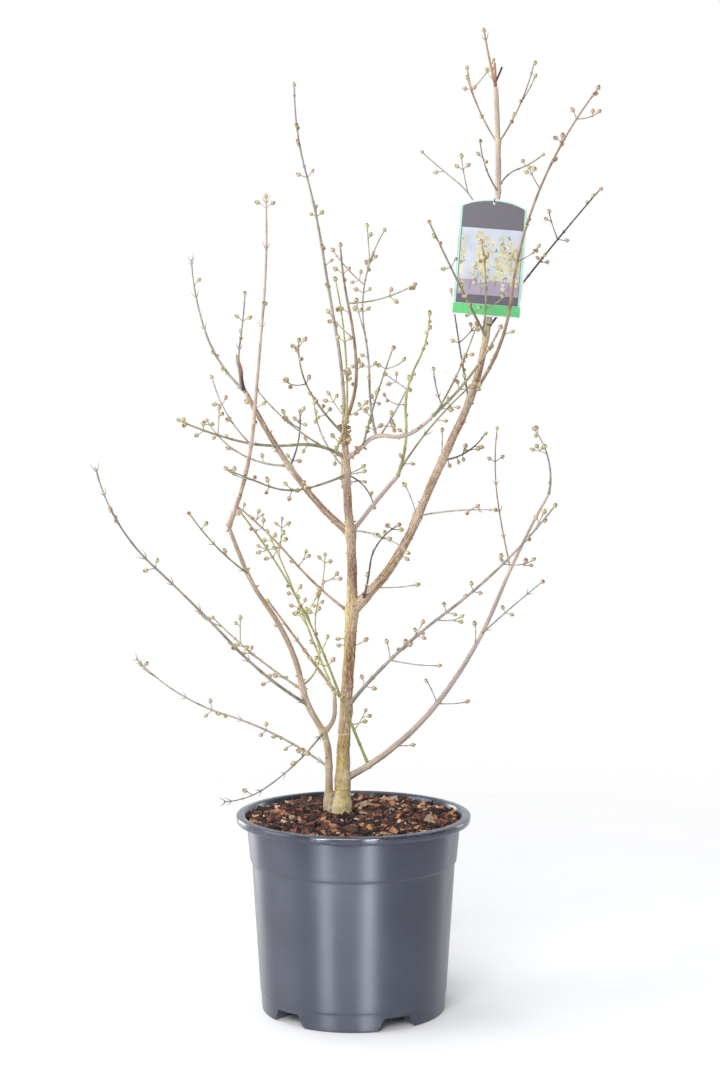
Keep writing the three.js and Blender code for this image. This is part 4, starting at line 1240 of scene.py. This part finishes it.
def petal(at, turn, long, wide):
    """A pointed oval: across = wide sin(t), along = long cos(t), drawn to a point at its far end."""
    t = angles(20)
    along_it, across = long * (np.cos(t) + 1) / 2, wide * np.sin(t) * (1 - 0.35 * np.cos(t)) / 2
    c, s = math.cos(turn), math.sin(turn)
    return np.stack([at[0] + along_it * c - across * s, at[1] + along_it * s + across * c], axis=1)


def box_outline(left, low, right, high):
    """A rectangle on the card, given by its edges."""
    return np.array([[left, high], [left, low], [right, low], [right, high]], float)


def ribbon(line, width, back, front):
    """A closed flat strip along a line on the card: four corners at each point, square to the line."""
    ways = unit(np.gradient(line, axis=0))
    aside = np.stack([-ways[:, 1], ways[:, 0]], axis=1) * np.reshape(width, (-1, 1)) / 2
    corners = [on_card(line + aside, front), on_card(line - aside, front),
               on_card(line - aside, back), on_card(line + aside, back)]
    rings = np.stack(corners, axis=1)
    verts = np.vstack([rings.reshape(-1, 3), rings[0].mean(axis=0)[None], rings[-1].mean(axis=0)[None]])
    return verts, ring_faces(len(line), 4)


def rosette(at, radius, lobes, phase):
    """A round flower head: r = radius (1 + 0.16 cos(lobes t))."""
    t = angles(3 * lobes)
    r = radius * (1 + 0.16 * np.cos(lobes * t))
    return np.array(at) + np.stack([r * np.cos(t + phase), r * np.sin(t + phase)], axis=1)


# The label's picture: its edges on the card, how far its foot is above the card's, and its ground's height
PICTURE = dict(left=-38.6, right=39, top=-37, foot=27, ground=19)
# How far the border and the panel stay inside the card's sides, below its top and above its foot
INSET = dict(border=(1.7, 1.1, 12), panel=(4.8, 2.6, 15.5))
# The stripe along the card's foot: half its width, and its foot and top above the card's foot
STRIPE = dict(half=42.9, foot=2, top=15)
# How far each printed layer stands out from the card, so that two that overlap are never in one plane
PRINT = dict(border=0.04, panel=0.08, field=0.12, ground=0.15)
SPRAYS = 9


def within(point, margin, field):
    """A point moved to be at least a margin inside the picture, given as half its width, its foot and top."""
    wide, low, high = field
    return np.clip(point, [margin - wide, low + margin], [wide - margin, high - margin])


def spray_line(rng, share, lift, field):
    """The line of one arching stem, which stands at a share of the picture's width, lifted from its foot."""
    wide, low, high = field
    foot = np.array([lerp(-wide, wide, share) * 0.95, low + 1 + lift])
    tip = np.array([foot[0] + rng.uniform(-14, 14), high - rng.uniform(3, 26)])
    bend = lerp(foot, tip, 0.5) + np.array([rng.uniform(-14, 14), 4])
    line = bezier(foot, bend, tip, 16)
    line[:, 0] = np.clip(line[:, 0], 2 - wide, wide - 2)
    return line


def sprays(rng, half, field):
    """The pattern in place of a picture: arching stems that cross the panel, each with round flower heads on
    both sides, in small groups, and leaves between them. Each lies a hair further out than the last."""
    stems, leaves, pale, deep, blur = (Heap() for _ in range(5))
    layer = 0
    back = half + 0.1
    for i in range(SPRAYS):
        line = spray_line(rng, (i + 0.5) / SPRAYS, 5 * (i % 3), field)
        stems.add(*ribbon(line, np.linspace(0.8, 0.35, len(line)), back, half + 0.2 + 0.004 * i))
        for j in [*range(2, 16), *range(4, 14), *range(5, 12)]:
            turn = rng.uniform(0, FULL_TURN)
            at = within(line[j] + rng.normal(0, 2.6, 2), 3, field)
            layer += 1
            front = half + 0.26 + 0.0006 * layer
            if layer % 3 == 0:
                spot = within(at + rng.normal(0, 3, 2), 4, field)
                head = rosette(spot, rng.uniform(1.6, 3.4), 6, turn)
                blur.add(*plate(head, back, half + 0.2 + 0.0002 * layer))
            if layer % 7 == 0:
                leaves.add(*plate(petal(at, turn, 5.4, 2.0), back, front - 0.04))
                leaves.add(*plate(petal(at, turn + 1.1, 4.4, 1.7), back, front - 0.03))
            else:
                heap = deep if rng.uniform() < 0.35 else pale
                heap.add(*plate(rosette(at, rng.uniform(0.9, 2.7), 5, turn), back, front))
    return stems, leaves, pale, deep, blur


def make_label(rng):
    """The card with a plain frame of coloured panels, and a pattern of stems and flowers for its picture."""
    half = LABEL["thick"] / 2
    hole = LABEL["hole_radius"]
    low = -LABEL["height"]
    left, right, top = PICTURE["left"], PICTURE["right"], PICTURE["top"]
    foot = low + PICTURE["foot"]
    card, mint, panel, sky, ground, stripe = (Heap() for _ in range(6))
    card.add(*plate(label_outline(0, 0, low), -half, half, hole))
    for name, heap, back in (("border", mint, half - 0.1), ("panel", panel, half)):
        side, down, up = INSET[name]
        heap.add(*plate(label_outline(side, down, low + up), back, half + PRINT[name], hole + 0.2))
    band = box_outline(-STRIPE["half"], low + STRIPE["foot"], STRIPE["half"], low + STRIPE["top"])
    stripe.add(*plate(band, half, half + PRINT["panel"]))
    sky.add(*plate(box_outline(left, foot, right, top), half, half + PRINT["field"]))
    ground.add(*plate(box_outline(left, foot, right, foot + PICTURE["ground"]), half, half + PRINT["ground"]))
    stems, leaves, pale, deep, blur = sprays(rng, half, (right, foot, top))
    finishes = {
        "card": (card, (246, 248, 247)), "border": (mint, (184, 226, 208)), "panel": (panel, (98, 94, 105)),
        "field": (sky, (202, 209, 224)), "ground": (ground, (172, 162, 180)),
        "stripe": (stripe, (98, 206, 124)), "stems": (stems, (126, 116, 106)),
        "leaves": (leaves, (140, 144, 132)), "blur": (blur, (212, 210, 204)),
        "flowers": (pale, (224, 218, 178)), "flowers_deep": (deep, (208, 194, 124)),
    }
    for name, (heap, colour) in finishes.items():
        nodes = ["label"] if name == "card" else []
        heap.piece(f"label_{name}", card_finish(f"label {name}", colour), "label_card", nodes, 30)


# The plant laid out

room = Clearance()
limbs = {}
for name, spec in BOUGHS.items():
    own_foot = FOOT_LEFT if name == "foot_left" else FOOT
    foot = limbs[spec["on"]]["route"].at(spec["at"])[0] if spec["on"] else own_foot
    limbs[name] = grow(spec, foot)
limbs["trunk"]["flare"] = FLARE["extra"]
masses = {}
for name, stems in MASSES.items():
    parent = limbs[stems[0]["on"]]
    main = grow(stems[0], parent["route"].at(stems[0]["at"])[0])
    main["parent_radius"] = float(limb_radius(parent, stems[0]["at"]))
    masses[name] = [main]
    for spec in stems[1:]:
        side = grow(spec, main["route"].at(spec["at"])[0])
        side["parent_radius"] = float(limb_radius(main, spec["at"]))
        masses[name].append(side)
all_stems = [(name, limb) for name, stems in masses.items() for limb in stems]
for name, limb in [*limbs.items(), *all_stems]:
    room.take(name, trail(limb["route"], lambda s: limb_radius(limb, s)))

lot = Lot(SEED)
spurs = []
for name, limb in all_stems:
    spurs.extend((limb["tone"], name, spur) for spur in bud_stem(room, lot, name, limb))

# Finer growth, after the spurs that the solids have
lot = Lot(FINE_SEED)
for tone, name, spur in list(spurs):
    if spur["is_twig"]:
        twig = dict(route=spur["route"], length=spur["route"].length, thick=[2, 1.6])
        first_turn = 360 * lot.draw()
        for half in (0, 180):
            size = lerp(0.5, 1, lot.draw())
            if lot.draw() < FINE["side_bud"]:
                length = BUD["length"] + STALK["length"] * size
                small = try_spur(room, name, twig, 0.6, first_turn + half, length)
                if small:
                    spurs.append((tone, name, small))
spikes = []
for name, limb in all_stems:
    if limb["habit"] == "stub":
        continue
    found, narrow = fine_nodes(room, lot, name, limb)
    spurs.extend((limb["tone"], name, spur) for spur in found)
    spikes.extend((limb["tone"], limb, *row) for row in narrow)
for name in (*BARE_TIPS, "left_leader"):
    end = masses[name][0]
    spikes.extend((end["tone"], end, 0.985, turn, TIP_SPIKE) for turn in (20, 200))

# Small twigs at places of their own: limb, share of its length, lean in degrees and length. From the length
# given first on they grow as twigs, and shorter ones as stalks.
OWN_TWIG_FROM = 12
OWN_TWIGS = [
    ("bough_right", 0.1, 86, 53), ("bough_right", 0.23, 120, 10), ("bough_right", 0.355, -20, 43),
    ("bough_right", 0.53, 4, 44), ("trunk", 0.434, 62, 21), ("trunk", 0.237, 77, 24),
    ("trunk", 0.455, -86, 13), ("trunk", 0.442, -96, 12), ("trunk", 0.87, 65, 22), ("trunk", 0.87, 79, 21),
    ("bough_right_low", 0.17, 86, 20), ("bough_right_low", 0.33, -24, 31),
    ("bough_right_low", 0.33, 87, 37), ("bough_right_low", 0.52, 0, 28),
    ("right_mid", 0.245, 96, 61), ("right_mid", 0.245, -10, 21),
]
lot = Lot(SEED)
for name, at, lean, length in OWN_TWIGS:
    limb = limbs.get(name) or masses[name][0]
    back = 16 * (lot.draw() - 0.5)
    ways = heading(np.array([lean + 6, lean - 8.0]), np.array([back, back]))
    route = Route(limb["route"].at(at)[0], length + BUD["length"], ways)
    spurs.append(("grey", name, dict(route=route, is_twig=length > OWN_TWIG_FROM, radius=SPUR["radius"])))

# Trunk and boughs

rng = np.random.default_rng(SEED)
BARKS = {
    "trunk": bark_finish("trunk bark", (106, 70, 52), (168, 132, 102), (220, 194, 162), 0.6,
                         upper=[(98, 68, 58), (150, 120, 106), (198, 176, 158)]),
    "stem_left": bark_finish("left stem bark", (146, 122, 102), (170, 149, 127), (192, 174, 152), 0.25),
    "bough_left": bark_finish("left bough bark", (106, 80, 66), (154, 128, 108), (200, 180, 158)),
    "bough_right": bark_finish("right bough bark", (124, 92, 74), (176, 148, 122), (214, 196, 170)),
    "leader": bark_finish("leader bark", (166, 147, 131), (182, 166, 149), (198, 185, 168), 0.1),
    "bough_right_low": bark_finish("low bough bark", (158, 138, 129), (178, 161, 151), (198, 184, 174), 0.12),
}
bark_of = dict(fork_left="stem_left", bough_right_second="bough_right_low", arm_right="bough_right_low")
# How far each bough's foot is inside its parent, and where others spring from it
springs = {name: 0 for name in limbs}
forks = {name: [] for name in limbs}
for name, limb in limbs.items():
    if limb["on"]:
        springs[name] = float(limb_radius(limbs[limb["on"]], limb["at"]))
        forks[limb["on"]].append(limb["foot"])
for stems in masses.values():
    forks[stems[0]["on"]].append(stems[0]["foot"])

covered = dict(limbs, stem_left=with_own_foot(limbs["foot_left"], limbs["stem_left"]))
del covered["foot_left"]
springs["stem_left"] = 0
# A place far from everything, for a limb that bears none
NOWHERE = [0, 0, -999]
for name, limb in covered.items():
    spots = np.array(forks[name] or [NOWHERE])
    verts, faces, grain, relief = bark_limb(rng, name, limb, spots, springs[name])
    bough_feet = [other["foot"] for other in limbs.values() if other["on"] == name] or spots
    bark = Heap()
    bark.add(verts, faces, grain=grain, relief=relief, **bark_marks(name, limb, verts, spots, bough_feet))
    nodes = ["stem_left", "foot_left"] if name == "stem_left" else [name]
    bark.piece(f"{name}_bark", BARKS[bark_of.get(name, name)], "bark", nodes)

# Broken stubs and knobs near the forks

# Limb, number of stubs, the shares of its length that they stand between, and their size
BURRS = [
    ("trunk", 26, 0.66, 1.0, 1), ("trunk", 34, 0.94, 1.0, 1.7), ("trunk", 12, 0.8, 0.86, 1.3),
    ("bough_left", 14, 0.1, 1, 1), ("bough_right", 18, 0.1, 1, 1), ("stem_left", 10, 0.15, 1, 1),
    ("arm_right", 8, 0, 1, 1), ("arm_right", 16, 0, 0.3, 1.5), ("leader", 6, 0.1, 1, 1),
]
burrs = Heap()
for name, amount, low, high, size in BURRS:
    line = fine_line(covered[name], BARK_STEP)[1]
    part = line[int(low * (len(line) - 1)):int(high * (len(line) - 1))]
    for _ in range(amount):
        thick = size * rng.uniform(0.7, 1.5)
        radius = float(limb_radius(covered[name], (low + high) / 2))
        burrs.add(*stub_tube(rng, part, radius, size * rng.uniform(0.9, 3.4), thick)[:2])
burrs.piece("broken_stubs", twig_finish("broken stubs", (180, 146, 108), (126, 92, 70)), "bark")

# Twigs, in one piece for each tone

TONES = {
    "green": twig_finish("green shoots", (178, 176, 118), (148, 148, 94)),
    "olive": twig_finish("olive twigs", (160, 153, 124), (124, 117, 91)),
    "grey": twig_finish("grey twigs", (166, 156, 142), (130, 120, 109)),
    "brown": twig_finish("brown twigs", (170, 144, 120), (132, 106, 88)),
    "pink": twig_finish("rosy twigs", (192, 170, 154), (162, 138, 124)),
    "dark": twig_finish("dark twigs", (104, 94, 84), (66, 58, 52)),
    "dead": twig_finish("dead stubs", (80, 62, 54), (44, 36, 34)),
    "raw": twig_finish("reddish stubs", (178, 130, 104), (128, 86, 68)),
}
# The mass whose last stem is the dead split stub
SPLIT = "left_high"
twigs = {tone: Heap() for tone in TONES}
for _, limb in all_stems:
    twigs[limb["tone"]].add(*twig_tube(limb)[:2])
for tone, _, spur in spurs:
    twigs[tone].add(*spur_tube(spur)[:2])
for tone, spindle in zip(("raw", "olive"), split_stub(masses[SPLIT][-1])):
    twigs[tone].add(*spindle[:2])
for tone, *spike in spikes:
    twigs[tone].add(*spike_tube(*spike)[:2])
for tone, heap in twigs.items():
    nodes = [f"twigs_{name}" for name, stems in masses.items() if stems[0]["tone"] == tone]
    heap.piece(f"twigs_{tone}", TONES[tone], "twig", nodes)

# Buds, dealt out by colour

# Least and largest radius, and length in radii, how far a bud leans from its stalk, and how far it is sunk
BUD_LOOKS = dict(radius=(2.75, 3.5), length=(1.95, 2.2), askew=0.12, sunk=0.4, tip_sunk=0.3)
tops = [spur["route"].at(1 - BUD["length"] / spur["route"].length) for _, _, spur in spurs]
for name, limb in all_stems:
    if limb["habit"] != "stub" and (limb is not masses[name][0] or name not in BARE_TIPS):
        tops.append(limb["route"].at(1))
bud_points = np.array([top[0] for top in tops])
bud_ways = unit(np.array([top[1] for top in tops]))
count = len(bud_points)
bud_ways = unit(bud_ways + rng.normal(0, BUD_LOOKS["askew"], (count, 3)))
bud_radii = rng.uniform(*BUD_LOOKS["radius"], count)
bud_lengths = bud_radii * rng.uniform(*BUD_LOOKS["length"], count)
bud_spins = rng.uniform(0, FULL_TURN, count)
# Each colour of bud, after the share of the buds that has it
BUD_COLOURS = {
    "yellow": (0.4, (206, 196, 144)),
    "tan": (0.36, (204, 184, 148)),
    "rosy": (0.24, (206, 180, 154)),
}
bounds_of = np.cumsum([share for share, _ in BUD_COLOURS.values()])
kind = np.searchsorted(bounds_of, rng.uniform(0, 0.999, count))
for i, (name, (_, colour)) in enumerate(BUD_COLOURS.items()):
    some = kind == i
    heap = Heap()
    feet = bud_points[some] - BUD_LOOKS["sunk"] * bud_ways[some]
    heap.add(*place_all(bud_template(BUD_RINGS, SIDES["bud"]), feet, bud_ways[some],
                        bud_radii[some], bud_lengths[some], bud_spins[some]))
    heap.piece(f"buds_{name}", bud_finish(f"{name} bud scales", colour), "twig")
tips = Heap()
feet = bud_points - BUD_LOOKS["tip_sunk"] * bud_ways
tips.add(*place_all(bud_template(TIP_RINGS, SIDES["bud"]), feet, bud_ways,
                    bud_radii, bud_lengths, bud_spins))
tips.piece("bud_tips", bud_finish("brown bud tips", (150, 118, 94)), "twig")

# Pot, soil, chips, label and tie

pot = make_pot()
make_soil(rng)
# Round the feet of the stems the soil has no chips: limb, share of its length, and radius of the free ring
CHIP_FREE = [("trunk", 0.02, 15.5), ("stem_left", 0.05, 7)]
avoid = np.array([[*limbs[name]["route"].at(at)[0][:2], radius] for name, at, radius in CHIP_FREE])
for name, (amount, mean_size, colour, dark) in CHIPS.items():
    heap = Heap()
    heap.add(*chips(rng, amount, mean_size, avoid))
    heap.piece(f"chips_{name}", chip_finish(f"{name} bark chips", colour, dark), "substrate", (), 20)
make_label(rng)
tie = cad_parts["label_tie"]
tie.data.materials.clear()
tie.data.materials.append(card_finish("tie cord", (62, 60, 60), 0.45))

# Floor, lights, backdrop and camera

FLOOR = dict(inner=0.02, reach=2.4, drop=0.0002, rings=13, sides=48)


def make_floor():
    """A level round floor, P(r, a) = (r cos a, r sin a, 0), a hair below the pot's feet. It fades out
    between two distances from the middle, so that it has no edge against the backdrop."""
    rings, sides = FLOOR["rings"], FLOOR["sides"]
    r, a = np.meshgrid(np.linspace(FLOOR["inner"], FLOOR["reach"], rings), angles(sides), indexing="ij")
    verts = np.stack([r * np.cos(a), r * np.sin(a), np.full_like(r, -FLOOR["drop"])], axis=-1).reshape(-1, 3)
    i, j = np.indices((rings - 1, sides))
    b = i * sides + (j + 1) % sides
    faces = np.stack([i * sides + j, (i + 1) * sides + j, b + sides, b], axis=-1).reshape(-1, 4)
    mesh = bpy.data.meshes.new("floor")
    mesh.from_pydata(verts.tolist(), [], faces.tolist() + [list(range(sides))])
    finish = Finish("pale floor", 0.7, 0.2)
    shade = finish.noise(finish.place(), 3, 3)
    finish.colour(finish.ramp(shade, (0.3, (240, 240, 241)), (0.7, (246, 246, 247))))
    away = finish.node("ShaderNodeVectorMath", operation="LENGTH")
    finish.link(finish.place(), away.inputs[0])
    finish.link(finish.ranged(away.outputs["Value"], 0.5, 1.8, 1, 0), finish.shader.inputs["Alpha"])
    mesh.materials.append(finish.material)
    floor = bpy.data.objects.new("floor", mesh)
    bpy.context.scene.collection.objects.link(floor)


def softbox(name, place, aim, size, power, spread=180, only=()):
    """A rectangular lamp aimed at a point. Where some pieces are named, it is flagged off all the others."""
    light = bpy.data.lights.new(name, "AREA")
    light.shape = "RECTANGLE"
    light.size, light.size_y = size
    light.energy = power
    light.spread = math.radians(spread)
    lamp = bpy.data.objects.new(name, light)
    bpy.context.scene.collection.objects.link(lamp)
    lamp.location = place
    toward = np.array(aim) - np.array(place)
    yaw = math.atan2(-toward[0], toward[1])
    pitch = math.atan2(toward[2], math.hypot(toward[0], toward[1]))
    lamp.rotation_euler = (math.pi / 2 + pitch, 0, yaw)
    if only:
        lit = bpy.data.collections.new(name)
        for piece in only:
            lit.objects.link(piece)
        lamp.light_linking.receiver_collection = lit


make_floor()
softbox("strip left", (-1.5, -2.5, 0.3), (0, 0, 0.12), (0.62, 0.6), 1.2, 24, [pot])
softbox("strip right", (0.84, -2.8, 0.3), (0, 0, 0.12), (0.54, 0.6), 1.5, 24, [pot])
softbox("front fill", (-0.5, -2.7, 1.6), (0, 0, 0.25), (1.6, 1.2), 68)
softbox("panel left", (-2.6, -0.4, 1.0), (0, 0, 0.5), (1.6, 1.8), 25)
softbox("overhead", (-0.5, -0.9, 3.0), (0, 0, 0.5), (2.2, 2.2), 24)
softbox("rim left", (-1.9, 2.0, 0.5), (0, 0, 0.2), (1.0, 1.6), 30)
softbox("rim right", (2.2, 1.5, 0.5), (0, 0, 0.2), (0.6, 1.6), 9)


# The world's bright side. Its light goes from first to last as the dot product of a direction with that
# side goes from low to high.
BRIGHT_SIDE = (-0.4, 1, 0)
BRIGHTNESS = dict(low=-0.55, high=0.35, first=0.18, last=1.0)


def make_world():
    """A white studio: bright all round but for the side of the room that the front view is taken from, by
    the direction's dot product with the bright side. What is seen of it directly is plain white."""
    world = bpy.data.worlds.new("studio")
    bpy.context.scene.world = world
    nodes = Nodes(world)
    shown = nodes.tree.nodes["Background"]
    lit = nodes.node("ShaderNodeBackground")
    set_inputs(shown, {"Color": (1, 1, 1, 1)})
    set_inputs(lit, {"Color": (0.95, 0.97, 1, 1)})
    toward = nodes.node("ShaderNodeVectorMath", operation="DOT_PRODUCT")
    toward.inputs[1].default_value = BRIGHT_SIDE
    nodes.link(nodes.node("ShaderNodeTexCoord").outputs["Generated"], toward.inputs[0])
    nodes.link(nodes.ranged(toward.outputs["Value"], **BRIGHTNESS), lit.inputs["Strength"])
    choice = nodes.node("ShaderNodeMixShader")
    nodes.link(nodes.node("ShaderNodeLightPath").outputs["Is Camera Ray"], choice.inputs[0])
    nodes.link(lit.outputs[0], choice.inputs[1])
    nodes.link(shown.outputs[0], choice.inputs[2])
    nodes.link(choice.outputs[0], nodes.tree.nodes["World Output"].inputs["Surface"])


make_world()
bpy.context.scene.view_settings.view_transform = "Standard"

# The photograph's camera, a level one: its place in metres, its sensor in millimetres, and the rest in pixels
# of the photograph
CAMERA_PLACE = (0, -2.85, 0.833)
SENSOR = 36
FRAME_WIDTH = 720
FRAME_HEIGHT = 1073
FOCAL = 2243
HORIZON_ROW = 350
MIDDLE_COLUMN = 353.5
camera_data = bpy.data.cameras.new("camera")
camera_data.sensor_width = SENSOR
camera_data.lens = FOCAL / FRAME_HEIGHT * SENSOR
camera_data.shift_x = (FRAME_WIDTH / 2 - MIDDLE_COLUMN) / FRAME_HEIGHT
camera_data.shift_y = (HORIZON_ROW - FRAME_HEIGHT / 2) / FRAME_HEIGHT
camera = bpy.data.objects.new("camera", camera_data)
camera.location = CAMERA_PLACE
camera.rotation_euler = (math.pi / 2, 0, 0)
bpy.context.scene.collection.objects.link(camera)
bpy.context.scene.camera = camera
